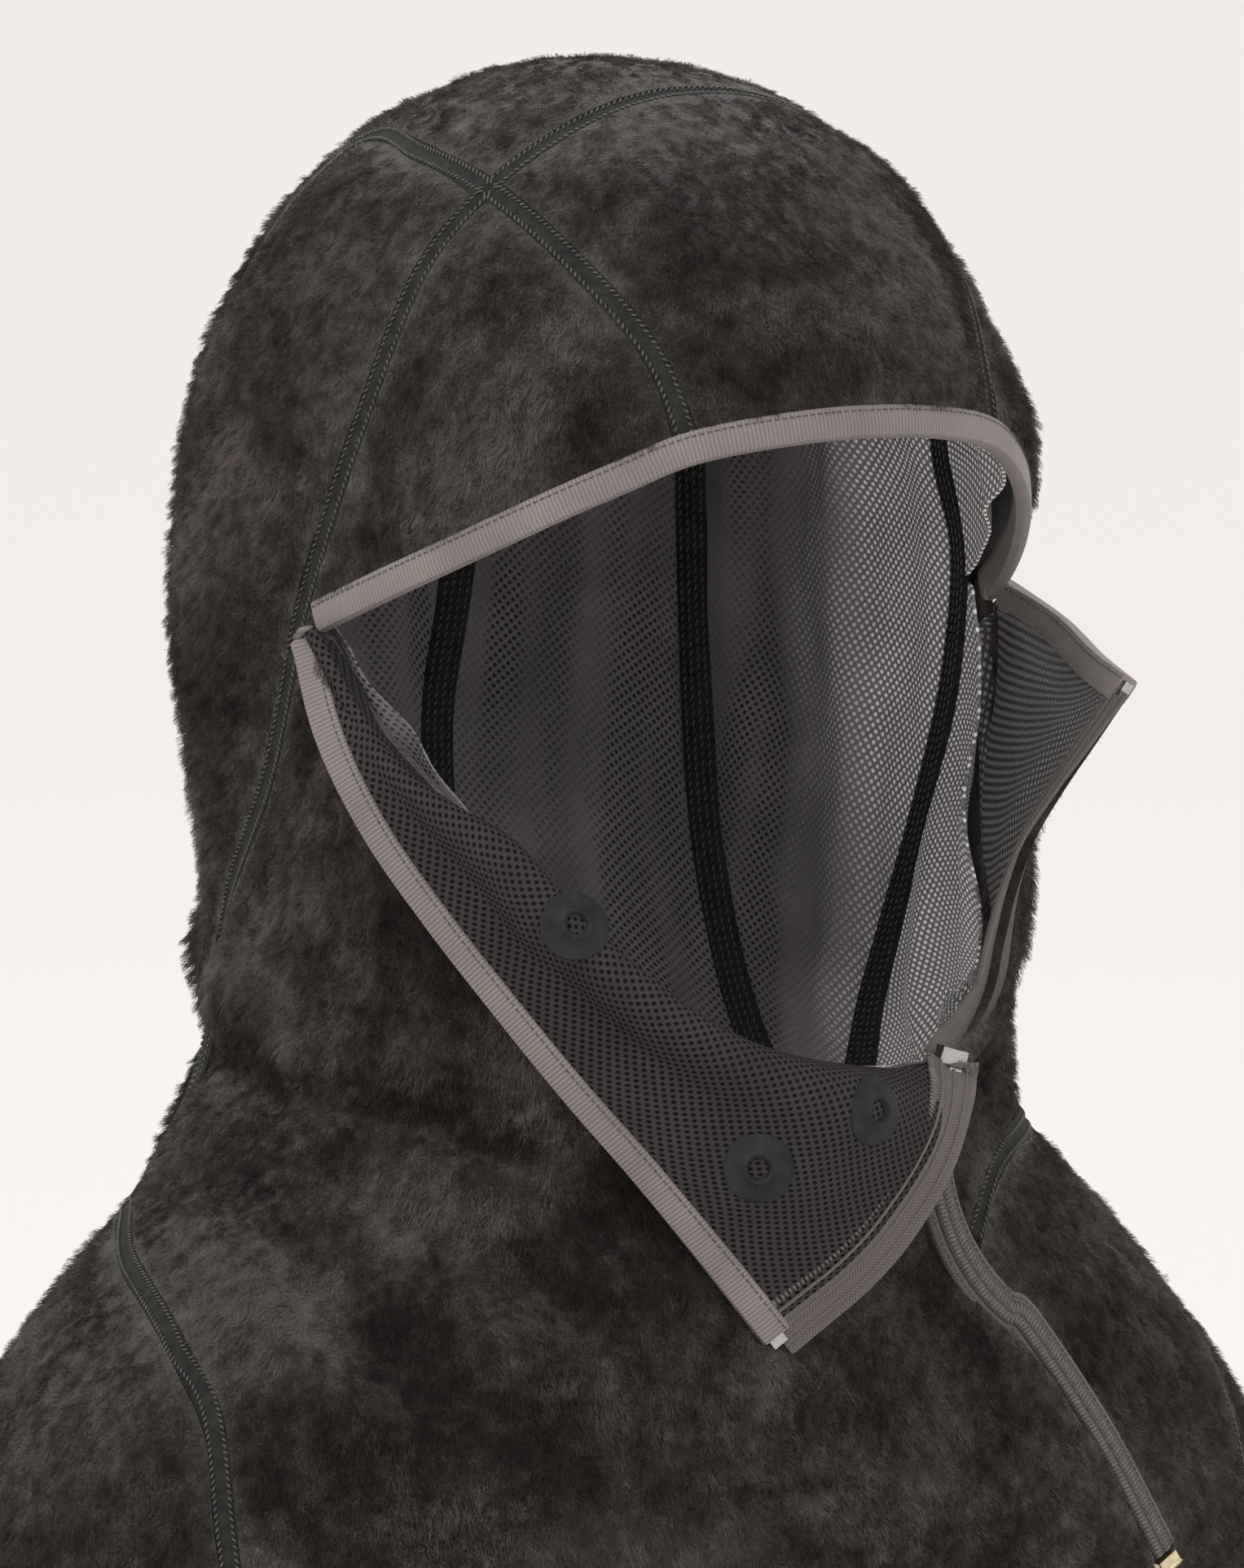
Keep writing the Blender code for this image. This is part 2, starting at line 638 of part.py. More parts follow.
def box(name, centre, along, up, size, finish):
    """A block: size along, across and up, in the frame of the directions along and up."""
    along = np.asarray(along, float) / np.linalg.norm(along)
    across = np.cross(up, along)
    across /= np.linalg.norm(across)
    up = np.cross(along, across)
    middle = np.asarray(centre, float)
    ends = [middle + along * size[0] * half for half in (-0.5, 0.5)]
    rim = [across * size[1] * a / 2 + up * size[2] * b / 2 for a, b in ((-1, -1), (1, -1), (1, 1), (-1, 1))]
    verts = [end + corner for end in ends for corner in rim]
    faces = [(0, 1, 2, 3), (7, 6, 5, 4)] + [(i, (i + 1) % 4, (i + 1) % 4 + 4, i + 4) for i in range(4)]
    return make_mesh(name, verts, faces, finish, smooth=False)


def build_flap(side, fold, binding, zip_edge, apex, heel, facing):
    """A flap of fleece and lining between its fold, its bound edge and its half of the zip.

    apex and heel are how far the cloth stops short of the eye corner and of the zip's top. facing is 1 or
    -1, the sign that turns the grid's normals to the lining side.
    """
    rows = cols = FLAP_GRID
    grid = coons(fold, resample(binding, rows), np.repeat(fold[:1], cols, axis=0), resample(zip_edge, cols))
    grid[0] = np.linspace(fold[0], binding[0], cols)
    normals = grid_normals(grid) * facing
    narrow = heel * np.linspace(1, 0, cols) ** 2
    cloth = inset(grid, 0.5, BINDING_HALF + FLAP_MARGIN, apex, TAPE_HALF + FLAP_MARGIN + narrow)
    face = grid_normals(cloth) * facing
    slab(f"flap_lining_{side}", cloth + face * 1.1, cloth + face * 0.3, "lining")
    slab(f"flap_fleece_{side}", cloth - face * 0.1, cloth - face * (0.1 + FLEECE), "fleece")

    def strip(name, line, along, first, last, reach, low, high, finish):
        shaved = trimmed(line, first, last)
        return ribbon(name, shaved, along, low, high, *reach, finish)

    half = BINDING_HALF
    strip(f"flap_binding_{side}", grid[:, -1], normals[:, -1], 19.0, 11.0, (-half, half), -1.9, 1.7, "binding")
    half = TAPE_HALF
    strip(f"flap_zip_tape_{side}", grid[-1], normals[-1], 22.0, 4.0, (-half, half), -0.4, 0.9, "zip_tape")
    tip = grid[-1, -1]
    inward = grid[-1, -2] - tip
    inward /= np.linalg.norm(inward)
    box(f"flap_top_stop_{side}", tip - inward * 0.5, inward, normals[-1, -1], (4.0, 5.0, 2.4), "metal")
    return grid, normals


def washer(name, centre, normal, radii, heights, finish):
    """A round patch with a punched hole and a raised rim around the hole."""
    normal = np.asarray(normal) / np.linalg.norm(normal)
    across = np.cross(normal, (0, 0, 1.0))
    across /= np.linalg.norm(across)
    other = np.cross(normal, across)
    outer, rim, hole = radii
    low, high, top = heights
    profile = [(outer, low), (outer, high), (rim, high), (rim - 0.6, top), (hole, top), (hole, low)]
    sides = 20
    verts = []
    for r, h in profile:
        for k in range(sides):
            a = 2 * math.pi * k / sides
            verts.append(centre + (across * math.cos(a) + other * math.sin(a)) * r + normal * h)
    faces = []
    for ring in range(len(profile)):
        after = (ring + 1) % len(profile)
        for k in range(sides):
            n = (k + 1) % sides
            faces.append((ring * sides + k, ring * sides + n, after * sides + n, after * sides + k))
    return make_mesh(name, verts, faces, finish)


def in_grid(grid, row, col):
    """The value at a place between a square grid's points."""
    count = len(grid)
    line = catmull(grid.reshape(count, -1), np.array([row])).reshape(count, 3)
    return catmull(line, np.array([col]))[0]


def build_flaps():
    fold = settle(resample(FOLD_RIGHT, FLAP_GRID), 4.0)[0]
    grid, normals = build_flap("right", fold, BINDING_RIGHT, ZIP_EDGE_RIGHT, 52.0, 6.0, 1)
    for number, (row, col) in enumerate(EYELETS, 1):
        place, facing = in_grid(grid, row, col), in_grid(normals, row, col)
        washer(f"eyelet_patch_{number}", place, facing, PATCH_RADII, PATCH_HEIGHTS, "patch")
    fold = settle(resample(FOLD_LEFT, FLAP_GRID), 4.0)[0]
    build_flap("left", fold, BINDING_LEFT, ZIP_EDGE_LEFT, 30.0, 36.0, -1)


def build_zip():
    path = zip_path(22, 2.0)
    facing = np.tile((0.0, -1.0, 0.0), (len(path), 1))
    ribbon("zip_chain", path, facing, -2.4, 1.8, -CHAIN_HALF, CHAIN_HALF, "zip_coil")
    centre, normals = settle(trimmed(path, 4.0, 2.0))
    ribbon("zip_tape_right", centre, normals, -5.6, -5.0, 0.9, 12.5, "zip_tape")
    ribbon("zip_tape_left", centre, normals, -5.6, -5.0, -12.5, -0.9, "zip_tape")
    end = path[-1] - path[-2]
    below = path[-1] + end / np.linalg.norm(end) * 2.6
    box("zip_bottom_stop", below, end, (0, -1, 0), (4.0, 6.0, 3.0), "metal")
    build_slider()


def build_slider():
    """The slider's saddle over the coils, and its pull hanging from the hinge at the saddle's top."""
    angle = math.radians(ZIP_TOP_ANGLE)
    down = np.array([-math.sin(angle), 0, math.cos(angle)])
    out = np.array([0, -1.0, 0])
    across = np.cross(down, out)
    centre = np.array(on_zip_arc(angle))
    half = [(4.1, 3.9), (4.1, -1.5), (3.1, -1.5), (3.1, 2.4)]
    saddle = [(-a, h) for a, h in half] + half[::-1]
    verts = [centre + down * d + across * a + out * h for d in (-4.5, 4.5) for a, h in saddle]
    count = len(saddle)
    faces = [tuple(range(count)), tuple(range(2 * count - 1, count - 1, -1))]
    faces += [(i, (i + 1) % count, (i + 1) % count + count, i + count) for i in range(count)]
    make_mesh("slider_body", verts, faces, "metal", smooth=False)
    box("slider_pull", centre + down * 8.0 + out * 5.0, down, out, (16.0, 4.4, 1.2), "metal")


clear_scene()
seams = seam_curves()
build_hood_panels(seams)
build_yoke_panels(seams)
build_seams(seams)
build_hem()
build_flaps()
build_zip()
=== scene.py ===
"""Looks of the full-face fleece hood: pile, mesh lining, elastic bindings, zip, stitches and scene.

Lengths are in millimetres and become metres in make_piece. The wearer faces -Y and +Z is up.
"""

import math

import bpy
import numpy as np
from mathutils import Matrix, Vector, noise


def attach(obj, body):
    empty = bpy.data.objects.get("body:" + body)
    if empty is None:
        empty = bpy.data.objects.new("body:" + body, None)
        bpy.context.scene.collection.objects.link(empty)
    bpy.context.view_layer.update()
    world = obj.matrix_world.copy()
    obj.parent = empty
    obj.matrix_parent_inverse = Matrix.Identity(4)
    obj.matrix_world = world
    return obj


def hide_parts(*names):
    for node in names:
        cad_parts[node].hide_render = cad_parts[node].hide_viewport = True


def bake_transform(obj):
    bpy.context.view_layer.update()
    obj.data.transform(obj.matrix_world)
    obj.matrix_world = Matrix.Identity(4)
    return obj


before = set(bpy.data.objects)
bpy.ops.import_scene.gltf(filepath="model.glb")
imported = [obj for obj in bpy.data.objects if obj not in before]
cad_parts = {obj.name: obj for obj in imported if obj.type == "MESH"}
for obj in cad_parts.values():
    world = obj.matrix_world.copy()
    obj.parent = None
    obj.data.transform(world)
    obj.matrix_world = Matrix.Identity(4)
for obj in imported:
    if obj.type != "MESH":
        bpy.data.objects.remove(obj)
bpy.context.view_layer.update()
MM = 0.001

# Driving dimensions, in millimetres.
FLEECE = 2.4  # knitted backing with its pressed pile
LINING = 0.8  # warp-knit mesh
PLY_GAP = 0.4  # air between the two plies
SEAM_HALF = 2.6  # half the width of a flat seam
PANEL_EDGE = SEAM_HALF + 0.3  # from the middle of a seam to the panel beside it
BOUND_EDGE = 3.6  # from the middle of a binding to the panel under it
ZIP_EDGE = 4.2  # from the middle of the zip to the panel beside it
BINDING_HALF = 4.0  # elastic binding, 8 mm wide when folded over the edge
BINDING_STITCH = 2.6  # from the middle of a binding to its row of stitches
TAPE_HALF = 6.4  # half the visible width of the zip tape on a flap
HEM_HEIGHT = 12.0
HEM_Z = -300.0
CROWN_Z = 129.0
ROUNDNESS = 2.15  # exponent of the section ovals; 2 would be an ellipse

# The zip's upper stretch is an arc in the plane y = ZIP_PLANE_Y, so that the slider can turn along it.
ZIP_PLANE_Y = -98.6
ZIP_ARC_CENTRE = (90.0, -135.0)  # x and z
ZIP_ARC_RADIUS = 58.5
ZIP_TOP_ANGLE = 163.0  # degrees from +x, at the slider's rest place
ZIP_ARC_END_ANGLE = 240.0
ZIP_STOP = (104.0, -248.0)

# Body sections from hem to crown: height, half width, depth in front and depth behind.
SECTIONS = np.array(
    [
        (HEM_Z, 200, 118, 112),
        (-262, 194, 116, 110),
        (-225, 184, 112, 107),
        (-197, 166, 107, 105),
        (-172, 141, 102, 103),
        (-148, 116, 99, 102),
        (-125, 101, 102, 104),
        (-98, 96, 104, 102),
        (-68, 96, 107, 107),
        (-30, 99, 112, 116),
        (5, 99, 116, 119),
        (40, 95, 115, 115),
        (75, 82, 103, 104),
        (100, 65, 83, 85),
        (118, 43, 56, 58),
        (127, 21, 28, 30),
        (CROWN_Z, 0, 0, 0),
    ],
    float,
)

# Seam routes on the wearer's right, settled onto the shell by route().
CROWN_CORNER = (-60, -36, 100)
BROW_JOIN = (-46, -103, 38.5)
EYE_CORNER_RIGHT = (-97, -17, -6)
EYE_CORNER_LEFT = (94, -38, -6)
SHOULDER_POINT = (-109, 57, -160)
FRONT_SEAM = [CROWN_CORNER, (-57, -70, 82), (-50, -93, 61), BROW_JOIN]
CROWN_SEAM = [CROWN_CORNER, (-37, -41, 115), (0, -43, 123), (37, -41, 115), (60, -36, 100)]
SIDE_SEAM_TOP = [CROWN_CORNER, (-77, -31, 79), (-93, -27, 40), (-97, -11, -4)]
SIDE_SEAM_LOW = [(-97, -11, -4), (-96, 6, -46), (-87, 42, -91), (-98, 52, -130), SHOULDER_POINT]
BACK_SEAM_START = (-48, 36, 110)
BACK_SEAM_TOP = [CROWN_CORNER, (-57, 0, 108), BACK_SEAM_START]
BACK_SEAM_LOW = [BACK_SEAM_START, (-37, 90, 62), (-29, 111, -13), (-18, 105, -60), (-17, 98, -138)]
NECK_SIDE_SEAM = [
    BACK_SEAM_START,
    (-72, 60, 70),
    (-80, 70, 13),
    (-79, 66, -47),
    (-84, 60, -100),
    SHOULDER_POINT,
]
NAPE_SEAM = [SHOULDER_POINT, (-70, 84, -146), (-17, 98, -138)]
RAGLAN_FRONT = [SHOULDER_POINT, (-131, 15, -166), (-144, -25, -180), (-152, -56, -206), (-150, -84, HEM_Z)]
RAGLAN_BACK = [SHOULDER_POINT, (-138, 66, -200), (-158, 80, HEM_Z)]
SIDE_SEAM_TOP_LEFT = [(60, -36, 100), (79, -33, 75), (95, -24, 30), (95, -31, -3)]
SIDE_SEAM_LOW_LEFT = [(95, -31, -3), (94, -14, -71), (101, 20, -130), (109, 57, -160)]
NECK_JOIN_LEFT = [(109, 57, -160), (104, -20, -143), (68, -80, -143), (44, -96, -166)]
BROW = [
    EYE_CORNER_RIGHT,
    (-85, -61, 13),
    (-62, -92, 30.5),
    BROW_JOIN,
    (-20, -112, 43),
    (0, -114, 44),
    (20, -112, 43),
    (46, -103, 38.5),
    (64, -91, 29),
    (84, -66, 11),
    EYE_CORNER_LEFT,
]
FOLD_RIGHT = [
    EYE_CORNER_RIGHT,
    (-92, -39, -32),
    (-83, -58, -52),
    (-72, -72, -71),
    (-58, -84, -88),
    (-43, -93, -101),
    (-17, -100, -112),
    (7, -101, -117),
    (34, -98, -118),
]
FOLD_LEFT = [EYE_CORNER_LEFT, (92, -50, -40), (78, -72, -82), (60, -86, -106), (34, -98, -118)]

# The flaps hang free of the shell, so their edges are points in space.
FLAP_TIP_RIGHT = (-23, -107, -179)
BINDING_RIGHT = [
    (-103, -20, -9),
    (-104, -35, -37),
    (-97, -50, -62),
    (-84, -69, -90),
    (-68, -86, -118),
    (-48, -99, -146),
    FLAP_TIP_RIGHT,
]
ZIP_EDGE_RIGHT = [(30, -108, -118), (22, -117, -127), (12, -122, -140), (-4, -119, -160), FLAP_TIP_RIGHT]
FLAP_TIP_LEFT = (78, -113, -26)
BINDING_LEFT = [(94, -41, -7), (93, -66, -15), (86, -90, -22), FLAP_TIP_LEFT]
ZIP_EDGE_LEFT = [(44, -103, -117), (60, -93, -104), (61, -96, -84), (62, -103, -60), FLAP_TIP_LEFT]

# Row from the eye corner and column from the fold, on the right flap.
EYELETS = [(3.8, 1.4), (6.5, 5.1), (6.9, 2.0)]
FLIP = np.array((-1.0, 1.0, 1.0))
SIDES = (("right", np.ones(3)), ("left", FLIP))
FLAP_GRID = 9  # points along each side of a flap
DENSE = 121  # points along a seam before it is divided
HEM_JOIN = (112, -98, HEM_Z)  # where the two front panels meet at the hem, below the zip

def catmull(table, t):
    """Smooth interpolation through the rows of table; t counts rows, and may be an array."""
    ends = np.vstack([2 * table[0] - table[1], table, 2 * table[-1] - table[-2]])
    i = np.clip(np.floor(t).astype(int), 0, len(table) - 2)
    f = (np.asarray(t) - i)[..., None]
    a, b, c, d = ends[i], ends[i + 1], ends[i + 2], ends[i + 3]
    bend = (2 * a - 5 * b + 4 * c - d) * f**2 + (3 * b - a - 3 * c + d) * f**3
    return 0.5 * (2 * b + (c - a) * f + bend)


def section(t):
    """Height, half width, front depth and back depth at section number t."""
    mirrored = SECTIONS[-2] * (1, -1, -1, -1)
    rows = catmull(np.vstack([SECTIONS, mirrored]), t)
    return rows[..., 0], *(np.maximum(rows[..., k], 0.3) for k in (1, 2, 3))


def radius(turn, t):
    """Distance from the upright axis at the angle turn, 0 in front and positive to the wearer's left."""
    _, half, front, back = section(t)
    depth = np.where(np.cos(turn) > 0, front, back)
    oval = np.abs(np.sin(turn) / half) ** ROUNDNESS + np.abs(np.cos(turn) / depth) ** ROUNDNESS
    return oval ** (-1 / ROUNDNESS)


def locate(points):
    """Angle and section number where each point settles: level below the origin, radial above it."""
    points = np.asarray(points, float)
    turn = np.arctan2(points[..., 0], -points[..., 1])
    reach = np.hypot(points[..., 0], points[..., 1])
    low = np.zeros(turn.shape)
    high = np.full(turn.shape, len(SECTIONS) - 1.001)
    for _ in range(40):
        middle = (low + high) / 2
        height = section(middle)[0]
        slope = height * reach - radius(turn, middle) * points[..., 2]
        below = np.where(points[..., 2] > 0, slope < 0, height < points[..., 2])
        low = np.where(below, middle, low)
        high = np.where(below, high, middle)
    return turn, (low + high) / 2


def shell(turn, t):
    far = radius(turn, t)
    return np.stack([far * np.sin(turn), -far * np.cos(turn), section(t)[0]], axis=-1)


def settle(points, lift=0.0):
    """The points moved onto the shell, and lift above it, with the shell's outward normals."""
    turn, t = locate(points)
    along = shell(turn, t + 0.01) - shell(turn, t - 0.01)
    around = shell(turn + 0.01, t) - shell(turn - 0.01, t)
    normal = np.cross(around, along)
    normal /= np.linalg.norm(normal, axis=-1, keepdims=True)
    return shell(turn, t) + normal * np.asarray(lift)[..., None], normal


def resample(points, count):
    """count points at equal steps of length along a smooth curve through points."""
    points = np.asarray(points, float)
    fine = catmull(points, np.linspace(0, len(points) - 1, 40 * len(points)))
    steps = np.linalg.norm(np.diff(fine, axis=0), axis=1)
    length = np.concatenate([[0], np.cumsum(steps)])
    wanted = np.linspace(0, length[-1], count)
    return np.stack([np.interp(wanted, length, fine[:, k]) for k in range(3)], axis=1)


def route(points, count):
    """A seam: equal steps along a smooth curve that lies on the shell."""
    return settle(resample(points, count))[0]


def mirror(points):
    return [(-x, y, z) for x, y, z in points]


def part_of(curve, start, end):
    """The part of a dense curve between the places nearest to start and end, in that order."""
    first, last = (int(np.argmin(np.linalg.norm(curve - np.array(place), axis=1))) for place in (start, end))
    return curve[first : last + 1] if first < last else curve[last : first + 1][::-1]


def coons(left, right, bottom, top):
    """A grid between four edges: left and right run from bottom to top, bottom and top from left to right."""
    s = np.linspace(0, 1, len(bottom))[None, :, None]
    t = np.linspace(0, 1, len(left))[:, None, None]
    across = (1 - s) * left[:, None] + s * right[:, None]
    upward = (1 - t) * bottom[None] + t * top[None]
    corners = (1 - s) * (1 - t) * bottom[0] + s * (1 - t) * bottom[-1]
    corners = corners + (1 - s) * t * top[0] + s * t * top[-1]
    return across + upward - corners


def inset_rows(grid, first, last):
    """Every row shortened by first and last millimetres at its two ends, keeping its number of points.

    first and last may each be one length or one per row.
    """
    rows = []
    for row, head, tail in zip(grid, np.broadcast_to(first, len(grid)), np.broadcast_to(last, len(grid))):
        steps = np.linalg.norm(np.diff(row, axis=0), axis=1)
        length = np.concatenate([[0], np.cumsum(steps)])
        start = min(head, 0.3 * length[-1])
        end = length[-1] - min(tail, 0.4 * length[-1])
        wanted = np.linspace(start, end, len(row))
        rows.append(np.stack([np.interp(wanted, length, row[:, k]) for k in range(3)], axis=1))
    return np.array(rows)


def grid_normals(grid):
    along = np.gradient(grid, axis=0)
    across = np.gradient(grid, axis=1)
    normal = np.cross(across, along)
    return normal / np.linalg.norm(normal, axis=-1, keepdims=True)


def straight(start, end, count):
    return np.linspace(start, end, count)


def evenly(points, count):
    """count points at equal steps of length along a row of points."""
    steps = np.concatenate([[0], np.cumsum(np.linalg.norm(np.diff(points, axis=0), axis=1))])
    wanted = np.linspace(0, steps[-1], count)
    return np.stack([np.interp(wanted, steps, points[:, k]) for k in range(3)], axis=1)


def distances(points, curve):
    return np.linalg.norm(points[:, None] - curve[None], axis=2).min(axis=1)


def shifted(curve, margin, toward):
    """The curve moved sideways along the shell by margin, to the side where the point toward lies."""
    points, normals = settle(curve)
    side = np.cross(normals, np.gradient(points, axis=0))
    side /= np.linalg.norm(side, axis=1, keepdims=True)
    if np.sum((toward - points) * side) < 0:
        side = -side
    return settle(points + side * margin)[0]


def bounded(left, right, bottom, top, away=()):
    """A grid on the shell inside its edges, each side a list of (dense curve, margin, count).

    left and right run from bottom to top. A side given as None is a straight line between its
    neighbours. away lists (point, distance) pairs that the grid keeps off as well.
    """
    sides = [left, right, bottom, top]
    edges = [edge for side in sides if side for edge in side]
    toward = np.vstack([edge[0] for edge in edges]).mean(axis=0)
    barriers = [(edge[0], edge[1]) for edge in edges]
    barriers += [(np.array([point], float), far) for point, far in away]
    lines = []
    for side in sides:
        line = None
        for curve, margin, count in side or ():
            moved = shifted(curve, margin, toward)
            clear = np.ones(len(moved), bool)
            for barrier, far in barriers:
                if barrier is not curve:
                    clear &= distances(moved, barrier) >= far
            kept = np.flatnonzero(clear)
            piece = evenly(moved[kept[0] : kept[-1] + 1], count)
            if line is not None:
                line[-1] = (line[-1] + piece[0]) / 2
                piece = piece[1:]
            line = piece if line is None else np.vstack([line, piece])
        lines.append(line)
    left_line, right_line, bottom_line, top_line = lines
    if bottom_line is None:
        bottom_line = straight(left_line[0], right_line[0], len(top_line))
    if top_line is None:
        top_line = straight(left_line[-1], right_line[-1], len(bottom_line))
    for side_line, k, other, m in (
        (left_line, 0, bottom_line, 0),
        (right_line, 0, bottom_line, -1),
        (left_line, -1, top_line, 0),
        (right_line, -1, top_line, -1),
    ):
        side_line[k] = other[m] = (side_line[k] + other[m]) / 2
    return settle(coons(left_line, right_line, bottom_line, top_line))[0]


def trimmed(curve, first, last):
    return inset_rows(curve[None], first, last)[0]


def on_zip_arc(angle):
    """The point of the zip's arc at an angle about the arc's centre."""
    x, z = ZIP_ARC_CENTRE
    return (x + ZIP_ARC_RADIUS * math.cos(angle), ZIP_PLANE_Y, z + ZIP_ARC_RADIUS * math.sin(angle))


def zip_path(count, first_mm=0.0):
    """The closed zip in its plane: the arc, then a straight run to the bottom stop."""
    angles = np.radians(np.linspace(ZIP_TOP_ANGLE, ZIP_ARC_END_ANGLE, 12))
    arc = [on_zip_arc(angle) for angle in angles]
    run = [(84, ZIP_PLANE_Y, -216), (ZIP_STOP[0], ZIP_PLANE_Y, ZIP_STOP[1])]
    return trimmed(resample(arc + run, count), first_mm, 0.0)



def seam_curves():
    """Every seam as a dense curve on the shell, by name; those named _left or _right come in pairs."""
    curves = {
        "crown_seam": route(CROWN_SEAM, DENSE),
        "nape_seam": route([*NAPE_SEAM[:-1], (0, 99, -138), *mirror(NAPE_SEAM[-2::-1])], DENSE),
        "neck_join_seam": route(NECK_JOIN_LEFT, DENSE),
        "brow": route(BROW, DENSE),
        "zip": route([*map(tuple, zip_path(12)), HEM_JOIN], DENSE),
        "side_seam_right": route([*SIDE_SEAM_TOP, *SIDE_SEAM_LOW[1:]], DENSE),
        "side_seam_left": route([*SIDE_SEAM_TOP_LEFT, *SIDE_SEAM_LOW_LEFT[1:]], DENSE),
    }
    for side, flip in SIDES:
        curves[f"front_seam_{side}"] = route(FRONT_SEAM, DENSE) * flip
        curves[f"back_seam_{side}"] = route([*BACK_SEAM_TOP, *BACK_SEAM_LOW[1:]], DENSE) * flip
        curves[f"neck_side_seam_{side}"] = route(NECK_SIDE_SEAM, DENSE) * flip
        curves[f"raglan_seam_{side}"] = route([*RAGLAN_BACK[::-1], *RAGLAN_FRONT[1:]], DENSE) * flip
    return curves


def hood_panels(curves):
    found = {}
    right, left = np.array(CROWN_CORNER), np.array(CROWN_CORNER) * FLIP
    nape_low = np.array(BACK_SEAM_LOW[-1])

    def seam(name, start, end, count):
        return (part_of(curves[name], start, end), PANEL_EDGE, count)

    def brow(start, end, count):
        return (part_of(curves["brow"], start, end), BOUND_EDGE, count)

    found["forehead_panel"] = bounded(
        [seam("front_seam_right", BROW_JOIN, right, 9)],
        [seam("front_seam_left", BROW_JOIN * FLIP, left, 9)],
        [brow(BROW_JOIN, BROW_JOIN * FLIP, 10)],
        [seam("crown_seam", right, left, 10)],
    )
    found["crown_back_panel"] = bounded(
        [seam("back_seam_right", nape_low, right, 18)],
        [seam("back_seam_left", nape_low * FLIP, left, 18)],
        [seam("nape_seam", nape_low, nape_low * FLIP, 7)],
        [seam("crown_seam", right, left, 7)],
    )
    found["brow_lining"] = bounded(
        [seam("side_seam_right", EYE_CORNER_RIGHT, right, 10)],
        [seam("side_seam_left", EYE_CORNER_LEFT, left, 10)],
        [brow(EYE_CORNER_RIGHT, EYE_CORNER_LEFT, 15)],
        [seam("crown_seam", right, left, 15)],
    )
    for side, flip in SIDES:
        corner = EYE_CORNER_RIGHT if side == "right" else EYE_CORNER_LEFT
        point, start = np.array(SHOULDER_POINT) * flip, np.array(BACK_SEAM_START) * flip
        found[f"side_front_panel_{side}"] = bounded(
            [seam(f"side_seam_{side}", corner, right * flip, 10)],
            [seam(f"front_seam_{side}", BROW_JOIN * flip, right * flip, 10)],
            [brow(corner, BROW_JOIN * flip, 8)],
            None,
            [(right * flip, 5)],
        )
        found[f"ear_panel_{side}"] = bounded(
            [seam(f"neck_side_seam_{side}", point, start, 14)],
            [seam(f"side_seam_{side}", point, right * flip, 14)],
            None,
            [seam(f"back_seam_{side}", start, right * flip, 5)],
            [(point, 20)],
        )
        found[f"side_back_panel_{side}"] = bounded(
            [seam(f"neck_side_seam_{side}", point, start, 14)],
            [seam(f"back_seam_{side}", nape_low * flip, start, 14)],
            [seam("nape_seam", point, nape_low * flip, 7)],
            None,
            [(start, 5)],
        )
    return found


def yoke_panels(curves):
    found = {}
    point = np.array(SHOULDER_POINT)
    hem_front, hem_back = np.array(RAGLAN_FRONT[-1]), np.array(RAGLAN_BACK[-1])
    hem = HEM_HEIGHT - 0.5

    def seam(name, start, end, count):
        return (part_of(curves[name], start, end), PANEL_EDGE, count)

    for side, flip in SIDES:
        cap_hem = route([RAGLAN_BACK[-1], (-200, 0, HEM_Z), RAGLAN_FRONT[-1]], DENSE) * flip
        raglan = f"raglan_seam_{side}"
        found[f"sleeve_cap_{side}"] = bounded(
            [seam(raglan, hem_back * flip, point * flip, 10)],
            [seam(raglan, hem_front * flip, point * flip, 10)],
            [(cap_hem, hem, 10)],
            None,
            [(point * flip, 5)],
        )

    back_hem = route([RAGLAN_BACK[-1], (-80, 105, HEM_Z), (80, 105, HEM_Z), *mirror(RAGLAN_BACK[-1:])], DENSE)
    found["back_yoke_panel"] = bounded(
        [seam("raglan_seam_right", hem_back, point, 9)],
        [seam("raglan_seam_left", hem_back * FLIP, point * FLIP, 9)],
        [(back_hem, hem, 12)],
        [seam("nape_seam", point, point * FLIP, 12)],
    )

    zip_line, fold_right, fold_left = curves["zip"], route(FOLD_RIGHT, DENSE), route(FOLD_LEFT, DENSE)
    zip_hem, zip_top = zip_line[-1], zip_line[0]
    rows = 12
    hem_right = route([RAGLAN_FRONT[-1], (-70, -115, HEM_Z), (30, -117, HEM_Z), HEM_JOIN], DENSE)
    found["front_panel_right"] = bounded(
        [
            seam("raglan_seam_right", hem_front, point, rows),
            seam("side_seam_right", point, EYE_CORNER_RIGHT, rows),
        ],
        [
            (part_of(zip_line, zip_hem, zip_top), ZIP_EDGE, rows),
            (fold_right[::-1], 0.5, rows),
        ],
        [(hem_right, hem, 10)],
        None,
    )

    join_end = NECK_JOIN_LEFT[-1]
    found["cheek_panel_left"] = bounded(
        [seam("side_seam_left", point * FLIP, EYE_CORNER_LEFT, 15)],
        [(part_of(zip_line, join_end, zip_top), ZIP_EDGE, 5), (fold_left[::-1], 0.5, 11)],
        [seam("neck_join_seam", point * FLIP, join_end, 13)],
        None,
    )

    hem_left = route([*mirror(RAGLAN_FRONT[-1:]), HEM_JOIN], DENSE)
    found["chest_panel_left"] = bounded(
        [seam("raglan_seam_left", hem_front * FLIP, point * FLIP, 11)],
        [(part_of(zip_line, zip_hem, join_end), ZIP_EDGE, 11)],
        [(hem_left, hem, 11)],
        [seam("neck_join_seam", point * FLIP, join_end, 11)],
    )
    return found


# ---------------------------------------------------------------- scene: camera, light and floor

PALE = (0.935, 0.89, 0.855)


